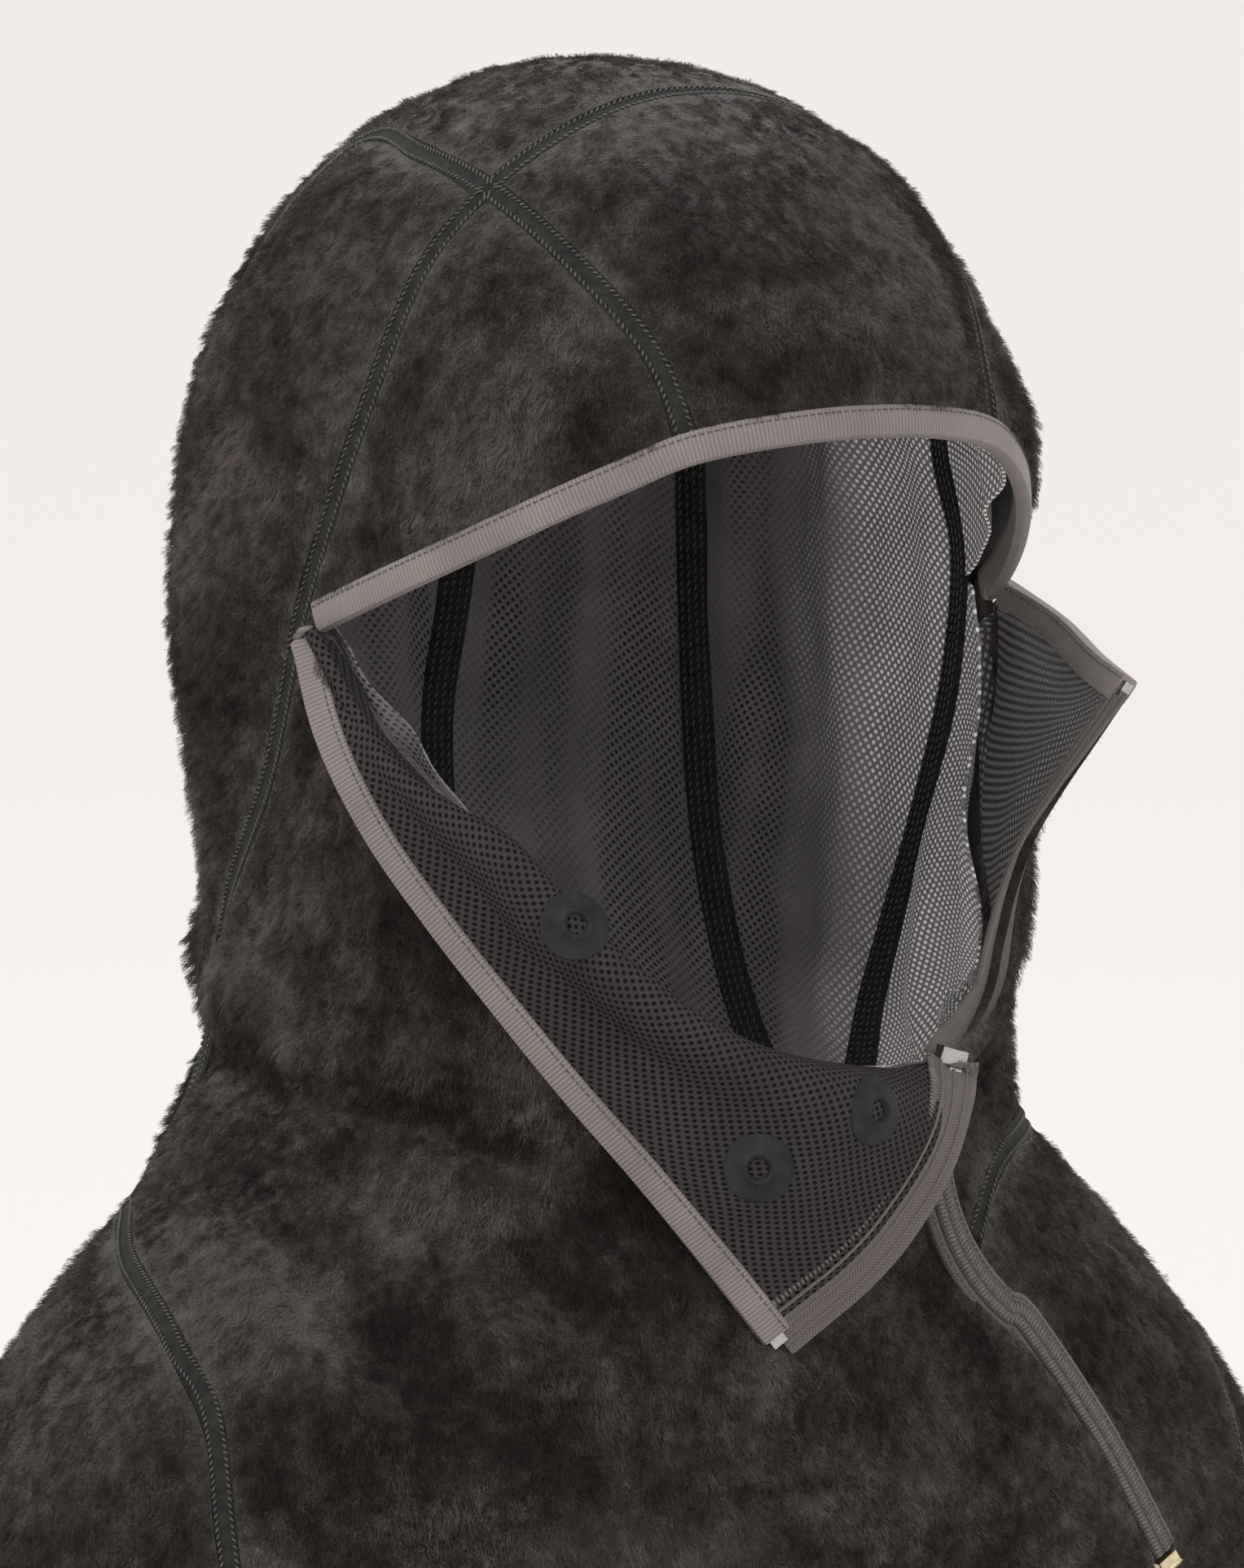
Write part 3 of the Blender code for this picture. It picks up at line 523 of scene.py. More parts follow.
def build_camera():
    azimuth, elevation, distance = math.radians(-35), math.radians(6), 2.4
    right = Vector((math.cos(azimuth), math.sin(azimuth), 0))
    level = Vector((math.sin(azimuth), -math.cos(azimuth), 0))
    back = level * math.cos(elevation) + Vector((0, 0, math.sin(elevation)))
    up = back.cross(right)
    aim = right * 0.00484 - up * 0.0541
    data = bpy.data.cameras.new("camera")
    data.sensor_fit = "VERTICAL"
    data.sensor_height = 36
    data.lens = 217.9
    data.clip_end = 100
    camera = bpy.data.objects.new("camera", data)
    camera.matrix_world = Matrix.Translation(aim + back * distance) @ Matrix(
        (right, up, back)
    ).transposed().to_4x4()
    bpy.context.scene.collection.objects.link(camera)
    bpy.context.scene.camera = camera
    return aim, right, up, back


def build_light(name, place, target, size, power, colour=(1, 1, 1)):
    data = bpy.data.lights.new(name, "AREA")
    data.shape = "DISK"
    data.size = size
    data.energy = power
    data.color = colour
    lamp = bpy.data.objects.new(name, data)
    lamp.location = place
    lamp.rotation_euler = (place - target).to_track_quat("Z", "Y").to_euler()
    bpy.context.scene.collection.objects.link(lamp)


def build_studio(aim, right, up, back):
    scene = bpy.context.scene
    scene.view_settings.view_transform = "Standard"
    world = bpy.data.worlds.new("studio")
    world.use_nodes = True
    world.node_tree.nodes["Background"].inputs[0].default_value = (1, 0.985, 0.97, 1)
    world.node_tree.nodes["Background"].inputs[1].default_value = WORLD
    scene.world = world
    build_light("key", aim - right * 1.3 + up * 1.5 + back * 1.3, aim, 1.3, KEY, (1, 0.98, 0.96))
    build_light("fill", aim + right * 1.4 + up * 0.5 + back * 1.4, aim, 1.6, FILL, (0.96, 0.98, 1))
    build_light("rim", aim + up * 1.6 - back * 0.9, aim, 1.0, RIM, (1, 1, 1))
    floor_z = HEM_Z * MM
    profile = [(-14, 0), (2.5, 0)]
    profile += [(2.5 + 1.5 * math.sin(a), 1.5 - 1.5 * math.cos(a)) for a in np.linspace(0.1, math.pi / 2, 12)]
    profile += [(4.0, 9.0)]
    away = Vector((-back.x, -back.y, 0)).normalized()
    verts = []
    for along, height in profile:
        for side in (-14, 14):
            verts.append(away * along + right * side + Vector((0, 0, floor_z + height)))
    faces = [(2 * i, 2 * i + 1, 2 * i + 3, 2 * i + 2) for i in range(len(profile) - 1)]
    mesh = bpy.data.meshes.new("floor")
    mesh.from_pydata([tuple(v) for v in verts], [], faces)
    mesh.shade_smooth()
    floor = bpy.data.objects.new("floor", mesh)
    scene.collection.objects.link(floor)
    made = bpy.data.materials.new("floor")
    made.use_nodes = True
    shader = made.node_tree.nodes["Principled BSDF"]
    shader.inputs["Base Color"].default_value = (*(0.15 * v for v in PALE), 1)
    shader.inputs["Emission Color"].default_value = (*PALE, 1)
    shader.inputs["Emission Strength"].default_value = 0.81
    shader.inputs["Roughness"].default_value = 0.9
    shader.inputs["Specular IOR Level"].default_value = 0.1
    mesh.materials.append(made)


WORLD, KEY, FILL, RIM = 0.8, 26, 9, 10

# ---------------------------------------------------------------- materials


class Nodes:
    """A short way to write a material's nodes."""

    def __init__(self, name):
        self.material = bpy.data.materials.new(name)
        self.material.use_nodes = True
        self.tree = self.material.node_tree
        self.shader = self.tree.nodes["Principled BSDF"]

    def add(self, kind, inputs=(), **settings):
        made = self.tree.nodes.new(kind)
        for key, value in settings.items():
            setattr(made, key, value)
        for key, value in dict(inputs).items():
            if hasattr(value, "is_linked"):
                self.tree.links.new(value, made.inputs[key])
            else:
                made.inputs[key].default_value = value
        return made

    def math(self, how, a, b=0.0, c=0.0, clamp=False):
        return self.add("ShaderNodeMath", {0: a, 1: b, 2: c}, operation=how, use_clamp=clamp).outputs[0]

    def vector(self, how, a, b=(0, 0, 0)):
        made = self.add("ShaderNodeVectorMath", {0: a, 1: b}, operation=how)
        return made.outputs["Value"] if how == "LENGTH" else made.outputs["Vector"]

    def noise(self, scale, detail=3.0, rough=0.55, coords=None, distort=0.0):
        inputs = {"Scale": scale, "Detail": detail, "Roughness": rough, "Distortion": distort}
        inputs["Vector"] = coords if coords is not None else self.place()
        return self.add("ShaderNodeTexNoise", inputs).outputs["Fac"]

    def place(self):
        if not hasattr(self, "coords"):
            self.coords = self.add("ShaderNodeTexCoord")
        return self.coords.outputs["Object"]

    def flat(self):
        """Position on the cloth, in metres along its two directions."""
        if not hasattr(self, "uv"):
            self.uv = self.add("ShaderNodeUVMap", uv_map="cloth")
        return self.uv.outputs["UV"]

    def ramp(self, value, stops):
        made = self.add("ShaderNodeValToRGB", {"Fac": value})
        points = made.color_ramp.elements
        while len(points) < len(stops):
            points.new(0.5)
        for point, (place, colour) in zip(points, stops):
            point.position = place
            point.color = (*colour, 1)
        return made.outputs["Color"]

    def spread(self, value, low, high, start=0.0, end=1.0):
        inputs = {"Value": value, "From Min": low, "From Max": high, "To Min": start, "To Max": end}
        return self.add("ShaderNodeMapRange", inputs).outputs["Result"]

    def mix(self, how_much, a, b):
        made = self.add("ShaderNodeMix", data_type="RGBA")
        for key, value in ((0, how_much), (6, a), (7, b)):
            if hasattr(value, "is_linked"):
                self.tree.links.new(value, made.inputs[key])
            else:
                made.inputs[key].default_value = (*value, 1) if isinstance(value, tuple) else value
        return made.outputs[2]

    def bump(self, height, distance, strength=1.0):
        inputs = {"Height": height, "Distance": distance, "Strength": strength}
        return self.add("ShaderNodeBump", inputs).outputs[0]

    def finish(self, colour, roughness, normal=None, specular=0.3, sheen=0.0, metallic=0.0):
        for key, value in (("Base Color", colour), ("Roughness", roughness), ("Normal", normal)):
            if value is None:
                continue
            if hasattr(value, "is_linked"):
                self.tree.links.new(value, self.shader.inputs[key])
            else:
                self.shader.inputs[key].default_value = (*value, 1) if isinstance(value, tuple) else value
        self.shader.inputs["Specular IOR Level"].default_value = specular
        self.shader.inputs["Sheen Weight"].default_value = sheen
        self.shader.inputs["Sheen Roughness"].default_value = 0.5
        self.shader.inputs["Metallic"].default_value = metallic
        return self.material


def pile_colours_and_sheen(n, dark, middle, light):
    """Brushed patches of pile, 20 to 60 mm across, painted lighter and darker as the sheen of pile lying
    different ways, with finer streaks inside them.
    """
    broad = n.noise(20.0, 3.0, 0.6, distort=0.8)
    fine = n.noise(170.0, 3.0, 0.65)
    speck = n.noise(1300.0, 2.0, 0.7)
    mixed = n.math("ADD", n.math("MULTIPLY", broad, 0.4), n.math("MULTIPLY", fine, 0.3))
    mixed = n.math("ADD", mixed, n.math("MULTIPLY", speck, 0.3))
    return n.ramp(mixed, [(0.41, dark), (0.5, middle), (0.6, light)])


def pile_material():
    n = Nodes("fleece_pile")
    colour = pile_colours_and_sheen(n, (0.014, 0.0095, 0.0085), (0.047, 0.036, 0.032), (0.17, 0.142, 0.13))
    return n.finish(colour, 0.55, specular=0.25)


def fleece_material():
    n = Nodes("fleece_ground")
    colour = pile_colours_and_sheen(n, (0.012, 0.009, 0.008), (0.03, 0.024, 0.021), (0.06, 0.05, 0.045))
    stretched = n.vector("MULTIPLY", n.place(), (1.0, 1.0, 0.22))
    strands = n.noise(1500.0, 4.0, 0.7, coords=stretched)
    lumps = n.noise(260.0, 3.0, 0.6)
    height = n.math("ADD", n.math("MULTIPLY", strands, 0.5), lumps)
    return n.finish(colour, 0.9, n.bump(height, 0.0012), specular=0.1, sheen=0.25)


def holes(n, pitch, radius, soft):
    """1 inside the holes of a knit, in rows that are offset by half a pitch, and 0 between them."""
    found = None
    for shift in ((0.0, 0.0), (0.5, 0.5)):
        scaled = n.vector("MULTIPLY", n.flat(), (1 / pitch[0], 1 / pitch[1], 0))
        moved = n.vector("ADD", scaled, (*shift, 0))
        cell = n.vector("SUBTRACT", n.vector("FRACTION", moved), (0.5, 0.5, 0))
        sized = n.vector("MULTIPLY", cell, (pitch[0], pitch[1], 0))
        far = n.vector("LENGTH", sized)
        found = far if found is None else n.math("MINIMUM", found, far)
    return n.spread(found, radius + soft, radius - soft)


def mesh_material(name, yarn, hole, glow=None):
    """Warp-knit mesh with eyelet holes; glow is the paler hole colour painted, with an emission, on the side
    towards LIT_WAY, as painted daylight through the holes.
    """
    n = Nodes(name)
    wobble = n.noise(120.0, 2.0)
    dots = holes(n, (0.0024, 0.0028), 0.00052, 0.0002)
    fine = holes(n, (0.00062, 0.00075), 0.00016, 0.0001)
    tones = [(0.3, tuple(v * 0.8 for v in yarn)), (0.7, tuple(v * 1.2 for v in yarn))]
    tone = n.ramp(n.noise(35.0, 3.0), tones)
    tone = n.mix(n.math("MULTIPLY", fine, 0.45), tone, tuple(v * 0.3 for v in yarn))
    inside = hole
    if glow is not None:
        # Painted light: towards LIT_WAY the holes take the glow colour and glow by an emission, and the yarn
        # is painted lighter, set by place and not by light passing through the cloth.
        reach = n.add("ShaderNodeVectorMath", {0: n.place(), 1: LIT_WAY}, operation="DOT_PRODUCT")
        lit = n.math("ADD", n.math("MULTIPLY", n.noise(14.0, 2.0), 0.03), reach.outputs["Value"])
        lit = n.spread(lit, GLOW_FROM, GLOW_TO)
        inside = n.mix(lit, hole, glow)
        tone = n.mix(n.math("MULTIPLY", lit, 0.55), tone, tuple(v * 2.1 for v in yarn))
        bands = n.noise(55.0, 2.0, coords=n.vector("MULTIPLY", n.flat(), (1.0, 0.12, 0.0)))
        dots = n.math("MULTIPLY", dots, n.math("MAXIMUM", n.spread(bands, 0.42, 0.58, 0.2, 1.0), lit))
        through = n.math("MULTIPLY", n.math("MULTIPLY", dots, lit), SHINE)
        n.tree.links.new(through, n.shader.inputs["Emission Strength"])
        n.shader.inputs["Emission Color"].default_value = (*glow, 1)
    colour = n.mix(dots, tone, inside)
    pits = n.math("ADD", dots, n.math("MULTIPLY", fine, 0.3))
    height = n.math("SUBTRACT", n.math("MULTIPLY", wobble, 0.2), pits)
    return n.finish(colour, 0.7, n.bump(height, 0.0005, 0.8), specular=0.12)


LIT_WAY = (0.82, -0.57, 0.0)  # painted daylight through the mesh on the wearer's left, towards the front: paler holes and yarn, and glowing holes, set by place
GLOW_FROM, GLOW_TO = 0.06, 0.092
SHINE = 0.24  # how strongly the painted daylight glows in a hole, as an emission


def seam_material():
    n = Nodes("seam_tape")
    ribs = n.add("ShaderNodeSeparateXYZ", {0: n.flat()})
    wave = n.math("SINE", n.math("MULTIPLY", ribs.outputs[0], 2 * math.pi / 0.0011))
    cross = n.math("SINE", n.math("MULTIPLY", ribs.outputs[1], 2 * math.pi / 0.0008))
    height = n.math("ADD", n.math("MULTIPLY", wave, cross), n.noise(1800.0, 2.0))
    tone = n.ramp(n.noise(300.0, 3.0), [(0.3, (0.018, 0.019, 0.017)), (0.7, (0.04, 0.041, 0.037))])
    return n.finish(tone, 0.8, n.bump(height, 0.00025), specular=0.2)


def thread_material():
    n = Nodes("stitch_thread")
    tone = n.ramp(n.noise(700.0, 2.0), [(0.3, (0.045, 0.045, 0.041)), (0.7, (0.1, 0.1, 0.092))])
    return n.finish(tone, 0.6, specular=0.35)


def binding_material():
    """Grosgrain elastic: fine ribs across, with painted shade between them."""
    n = Nodes("elastic_binding")
    ways = n.add("ShaderNodeSeparateXYZ", {0: n.flat()})
    rib = n.math("SINE", n.math("MULTIPLY", ways.outputs[0], 2 * math.pi / 0.00105))
    rib = n.spread(rib, -1.0, 1.0)
    fibre = n.noise(2500.0, 2.0)
    tone = n.noise(45.0, 3.0)
    base = n.ramp(
        n.math("ADD", n.math("MULTIPLY", tone, 0.6), n.math("MULTIPLY", fibre, 0.4)),
        [(0.3, (0.19, 0.158, 0.149)), (0.7, (0.3, 0.255, 0.242))],
    )
    # Painted shade: the troughs between the ribs are painted up to half way towards a dark brown.
    colour = n.mix(n.math("MULTIPLY", n.math("SUBTRACT", 1.0, rib), 0.5), base, (0.075, 0.061, 0.058))
    height = n.math("ADD", rib, n.math("MULTIPLY", fibre, 0.25))
    return n.finish(colour, 0.5, n.bump(height, 0.0003, 0.8), specular=0.4, sheen=0.15)


def tape_material(name, dark, light):
    """Woven herringbone zip tape."""
    n = Nodes(name)
    ways = n.add("ShaderNodeSeparateXYZ", {0: n.flat()})
    across = n.math("DIVIDE", ways.outputs[1], 0.0024)
    fold = n.math("ABSOLUTE", n.math("SUBTRACT", n.math("FRACT", across), 0.5))
    slant = n.math("ADD", n.math("DIVIDE", ways.outputs[0], 0.0009), n.math("MULTIPLY", fold, 2.6))
    twill = n.spread(n.math("SINE", n.math("MULTIPLY", slant, 2 * math.pi)), -1, 1)
    fibre = n.noise(2600.0, 2.0)
    colour = n.mix(n.math("ADD", n.math("MULTIPLY", twill, 0.7), n.math("MULTIPLY", fibre, 0.3)), dark, light)
    height = n.math("ADD", twill, n.math("MULTIPLY", fibre, 0.3))
    return n.finish(colour, 0.65, n.bump(height, 0.00025), specular=0.3, sheen=0.1)


def coil_material():
    n = Nodes("zip_coil_nylon")
    tone = n.ramp(n.noise(400.0, 2.0), [(0.3, (0.075, 0.063, 0.059)), (0.7, (0.15, 0.128, 0.12))])
    rough = n.spread(n.noise(900.0, 2.0), 0.3, 0.7, 0.3, 0.5)
    return n.finish(tone, rough, specular=0.5)


def metal_material(name, colour):
    n = Nodes(name)
    grain = n.noise(1400.0, 3.0, coords=n.vector("MULTIPLY", n.place(), (1, 1, 0.1)))
    tone = n.ramp(n.noise(500.0, 3.0), [(0.3, tuple(v * 0.8 for v in colour)), (0.7, colour)])
    return n.finish(tone, n.spread(grain, 0.3, 0.7, 0.18, 0.36), n.bump(grain, 0.00003, 0.5), metallic=1.0)


def film_material():
    n = Nodes("bonded_film")
    grain = n.noise(1500.0, 3.0)
    tone = n.ramp(n.noise(250.0, 3.0), [(0.3, (0.012, 0.0135, 0.0125)), (0.7, (0.024, 0.026, 0.0245))])
    return n.finish(tone, n.spread(grain, 0.3, 0.7, 0.55, 0.75), n.bump(grain, 0.00008), specular=0.2)


# ---------------------------------------------------------------- meshes

PIECES = {}


def make_piece(name, verts, faces, materials, uvs=None, which=None, sharp=50):
    """A mesh object from millimetre points, with UVs per point and a material number per face."""
    mesh = bpy.data.meshes.new(name)
    mesh.from_pydata((np.asarray(verts) * MM).tolist(), [], faces)
    for made in materials:
        mesh.materials.append(made)
    if which is not None:
        mesh.polygons.foreach_set("material_index", which)
    if uvs is not None:
        layer = mesh.uv_layers.new(name="cloth")
        index = np.empty(len(mesh.loops), np.int32)
        mesh.loops.foreach_get("vertex_index", index)
        layer.data.foreach_set("uv", np.asarray(uvs, np.float32)[index].ravel())
    mesh.shade_smooth()
    mesh.set_sharp_from_angle(angle=math.radians(sharp))
    made = bpy.data.objects.new(name, mesh)
    bpy.context.scene.collection.objects.link(made)
    PIECES[name] = made
    return made


def resized(grid, rows, cols):
    """The grid with another number of points each way, on the same smooth surface."""
    count = grid.shape[0]
    tall = catmull(grid.reshape(count, -1), np.linspace(0, count - 1, rows)).reshape(rows, -1, 3)
    turned = tall.transpose(1, 0, 2)
    count = turned.shape[0]
    wide = catmull(turned.reshape(count, -1), np.linspace(0, count - 1, cols)).reshape(cols, rows, 3)
    return wide.transpose(1, 0, 2)


def spans(grid):
    """The grid's greatest length along its rows and along its columns."""
    across = np.linalg.norm(np.diff(grid, axis=1), axis=2).sum(axis=1).max()
    along = np.linalg.norm(np.diff(grid, axis=0), axis=2).sum(axis=0).max()
    return across, along


def refined(grid, step):
    across, along = spans(grid)
    return resized(grid, max(4, round(along / step) + 1), max(4, round(across / step) + 1))


def area_of(grid):
    a = np.linalg.norm(np.cross(grid[1:, :-1] - grid[:-1, :-1], grid[:-1, 1:] - grid[:-1, :-1]), axis=2)
    b = np.linalg.norm(np.cross(grid[1:, :-1] - grid[1:, 1:], grid[:-1, 1:] - grid[1:, 1:]), axis=2)
    return (a.sum() + b.sum()) / 2


def grid_uvs(grid):
    """Lengths in metres along the middle row and column, so that a knit keeps its size."""
    steps = np.linalg.norm(np.diff(grid, axis=1), axis=2)
    across = np.concatenate([np.zeros((len(grid), 1)), np.cumsum(steps, axis=1)], axis=1)
    across -= across[:, across.shape[1] // 2][:, None]
    steps = np.linalg.norm(np.diff(grid, axis=0), axis=2)
    along = np.concatenate([np.zeros((1, grid.shape[1])), np.cumsum(steps, axis=0)], axis=0)
    along = np.repeat(along.mean(axis=1)[:, None], grid.shape[1], axis=1)
    return np.stack([across, along], axis=2).reshape(-1, 2) * MM


def sheet_faces(rows, cols):
    """Faces of a closed sheet whose outer grid comes before its inner grid."""
    under = rows * cols
    a = (np.arange(rows - 1)[:, None] * cols + np.arange(cols - 1)[None]).ravel()
    outer = np.stack([a, a + 1, a + cols + 1, a + cols], axis=1)
    faces = outer.tolist() + (outer[:, ::-1] + under).tolist()
    rim = [j for j in range(cols)] + [i * cols + cols - 1 for i in range(1, rows)]
    rim += [(rows - 1) * cols + j for j in range(cols - 2, -1, -1)]
    rim += [i * cols for i in range(rows - 2, 0, -1)]
    faces += [(b, a, a + under, b + under) for a, b in zip(rim, rim[1:] + rim[:1])]
    return faces


def outward(grid, normals):
    """True when the outer faces already point along the normals."""
    rows, cols = grid.shape[:2]
    middle = (rows // 2) * cols + cols // 2
    flat = grid.reshape(-1, 3)
    turn = np.cross(flat[middle + 1] - flat[middle], flat[middle + cols] - flat[middle])
    return np.dot(turn, normals.reshape(-1, 3)[middle]) > 0


def cloth_piece(name, outer, inner, normals, finish):
    rows, cols = outer.shape[:2]
    faces = sheet_faces(rows, cols)
    if not outward(outer, normals):
        faces = [tuple(reversed(face)) for face in faces]
    uvs = grid_uvs(outer)
    verts = np.vstack([outer.reshape(-1, 3), inner.reshape(-1, 3)])
    made = make_piece(name, verts, faces, [finish], np.vstack([uvs, uvs]))
    across, along = spans(outer)
    area = min(area_of(outer), across * along)
    area = max(area, 0.31 * across * along)
    flat = (round(across * MM, 4), round(along * MM, 4))
    area = round(min(area * MM * MM, flat[0] * flat[1]), 6)
    return made


def noisy(points, scale, seed):
    """Smooth noise between about -1 and 1 at each point, with features scale millimetres across."""
    shift = Vector((seed * 17.3, seed * 5.1, seed * 9.7))
    flat = np.asarray(points).reshape(-1, 3) / scale
    return np.array([noise.noise(Vector(p) + shift) for p in flat.tolist()]).reshape(np.shape(points)[:-1])


def crease(points, curve, width, depth):
    """A rounded ridge (or a groove, when depth is negative) along a curve, fading out beyond its ends."""
    flat = np.asarray(points).reshape(-1, 3)
    far = distances(flat, np.asarray(curve)) / width
    return (depth * np.exp(-(far**2))).reshape(np.shape(points)[:-1])


# Ridges and grooves of the worn cloth: route, width and depth in millimetres.
CREASES = [
    ([(-88, 60, -104), (-98, 10, -112), (-82, -50, -112)], 8, 4.4),
    ([(-90, 62, -118), (-104, 20, -122), (-92, -40, -124), (-70, -70, -132)], 7, -4.6),
    ([(-96, 6, -60), (-92, -30, -70), (-80, -62, -84)], 9, -1.8),
    ([(-98, -20, -14), (-97, -2, -22), (-93, 16, -30)], 6, -1.8),
    ([(-97, -28, 2), (-96, -10, 8), (-92, 6, 20)], 6, 1.6),
    ([(-94, -36, 12), (-93, -16, 20), (-88, 2, 34)], 5, -1.2),
    ([(-60, -95, -132), (-30, -104, -142), (0, -106, -148)], 10, -2.5),
    ([(-84, -70, -128), (-66, -84, -146), (-40, -96, -165)], 9, 3.0),
    ([(-112, -40, -140), (-96, -64, -150), (-70, -84, -168)], 8, -2.6),
    ([(-70, -90, -186), (-30, -104, -196), (20, -106, -196)], 12, -2.2),
    ([(-110, -62, -190), (-90, -84, -210), (-60, -104, -240)], 10, 2.0),
    ([(40, -96, 70), (55, -80, 60), (66, -64, 62)], 7, -1.6),
    ([(30, -104, 52), (52, -92, 44), (70, -76, 40)], 6, 1.6),
    ([(10, -104, 66), (30, -98, 68), (50, -84, 70)], 6, 1.2),
    ([(60, -90, -130), (84, -60, -136), (96, -20, -132)], 8, -4.2),
    ([(-96, 10, -96), (-88, 52, -98), (-60, 88, -96)], 9, 4.5),
    ([(-104, 16, -116), (-96, 60, -118), (-60, 92, -116)], 7, -4.5),
    ([(-60, -92, -150), (-20, -104, -160), (30, -104, -172)], 13, -5.0),
    ([(-96, -76, -176), (-50, -98, -186), (10, -104, -192)], 12, 3.5),
    ([(-130, -10, -158), (-126, -44, -172), (-112, -70, -196)], 8, 3.0),
    ([(-92, -60, -122), (-76, -80, -140), (-60, -92, -150)], 7, -3.5),
    ([(52, -98, -172), (80, -84, -176), (112, -56, -180)], 9, 2.2),
    ([(84, -92, -200), (110, -76, -214), (140, -50, -226)], 10, -2.0),
]


def relief(points, seams):
    """How far the worn cloth stands above or below its smooth form, less near the seams that pull it in."""
    far = np.full(np.prod(np.shape(points)[:-1]), 1e9)
    flat = np.asarray(points).reshape(-1, 3)
    for curve in seams:
        far = np.minimum(far, distances(flat, curve[::2]))
    far = far.reshape(np.shape(points)[:-1])
    free = np.clip((far - 2) / 16, 0, 1)
    height = 2.0 * noisy(points, 44.0, 1) + 1.1 * noisy(points, 19.0, 2)
    for curve, width, depth in CREASES:
        height = height + crease(points, route(curve, 40), width, depth)
    return height * (0.25 + 0.75 * free) - 1.6 * np.exp(-far / 3.5) - 0.2


def fleece_piece(node, grid, seams, material, pile):
    fine = settle(refined(grid, PANEL_STEP))[0]
    height = relief(fine, seams)
    outer, normals = settle(fine, height)
    inner = outer - normals * FLEECE
    made = cloth_piece(f"{node}_cloth", outer, inner, normals, material)
    made.data.materials.append(pile)
    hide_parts(node)
    flat = outer.reshape(-1, 3)
    far = np.full(len(flat), 1e9)
    for curve in seams:
        far = np.minimum(far, distances(flat, curve[::2]))
    lengths = np.clip(0.15 + (far - 3.4) / 8, 0.15, 1.0)
    for curve in TRIMS:
        near = distances(flat, curve[::2])
        lengths = np.minimum(lengths, np.clip(0.3 + (near - 4.0) / 14, 0.3, 1.0))
    add_pile(made, pile_weights(flat), lengths, area_of(outer), len(PIECES))
    return made


TRIMS = []


def pile_weights(points):
    """Less pile in the knitted zone on the chest."""
    middle = np.array([-62.0, -112.0, -262.0])
    sized = np.abs((points - middle) / np.array([34.0, 60.0, 44.0])).max(axis=1)
    return np.where(sized < 1, 0.25, 1.0)


def weigh(made, name, weights):
    group = made.vertex_groups.new(name=name)
    steps = np.round(np.asarray(weights) * 20).astype(int)
    for step in np.unique(steps):
        group.add(np.flatnonzero(steps == step).tolist(), float(step) / 20, "REPLACE")


def add_pile(made, weights, lengths, area, seed, density=1.0, length=4.6):
    """Seeded pile on the outer face, brushed downwards with random lean, shorter by the seams."""
    weigh(made, "pile", weights)
    weigh(made, "pile_length", lengths)
    modifier = made.modifiers.new("pile", "PARTICLE_SYSTEM")
    system = made.particle_systems[-1]
    system.seed = seed
    system.vertex_group_density = "pile"
    system.vertex_group_length = "pile_length"
    settings = modifier.particle_system.settings
    settings.type = "HAIR"
    settings.count = max(50, int(area * PARENTS * density))
    settings.hair_step = 3
    settings.render_step = 3
    settings.display_step = 2
    settings.use_advanced_hair = True
    settings.emit_from = "FACE"
    settings.distribution = "RAND"
    settings.use_modifier_stack = False
    settings.normal_factor = 0.16 * length * MM
    settings.object_align_factor = (0.0, 0.0, -0.15 * length * MM)
    settings.factor_random = 0.1 * length * MM
    settings.child_type = "INTERPOLATED"
    settings.rendered_child_count = CHILDREN
    settings.child_percent = 2
    settings.child_length = 1.0
    settings.child_length_threshold = 0.0
    settings.clump_factor = 0.05
    settings.clump_shape = 0.1
    settings.roughness_1 = 0.0003
    settings.roughness_1_size = 0.004
    settings.roughness_2 = 0.0005
    settings.roughness_2_size = 0.002
    settings.roughness_endpoint = 0.0009
    settings.material_slot = made.data.materials[-1].name
    settings.root_radius = 1.0
    settings.tip_radius = 0.45
    settings.radius_scale = 0.0001
    settings.use_close_tip = True


PANEL_STEP = 3.2
PARENTS = 0.21  # hairs per square millimetre, before their children
CHILDREN = 16


def lining_piece(node, grid, seams, material, front):
    """Mesh lining just behind the fleece, gathered into soft upright folds that stand inwards."""
    fine = settle(refined(grid, 2.6))[0]
    turn = np.arctan2(fine[..., 0], -fine[..., 1])
    far = np.full(fine.shape[:2], 1e9)
    flat = fine.reshape(-1, 3)
    for curve in seams:
        far = np.minimum(far, distances(flat, curve[::2]).reshape(far.shape))
    free = np.clip((far - 3) / 14, 0, 1)
    phase = turn * 15 + 1.4 * noisy(fine, 60.0, 5)
    wave = 0.5 + 0.5 * np.sin(phase)
    ripple = 0.5 + 0.5 * noisy(fine, 16.0, 6)
    depth = (4.6 * wave**2 + 1.2 * ripple) * free
    groove = np.minimum(relief(fine, seams), 0)
    outer, normals = settle(fine, front - depth - 0.4 - 1.2 + groove)
    inner = outer - normals * LINING
    made = cloth_piece(f"{node}_cloth", inner, outer, -normals, material)
    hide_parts(node)
    return made


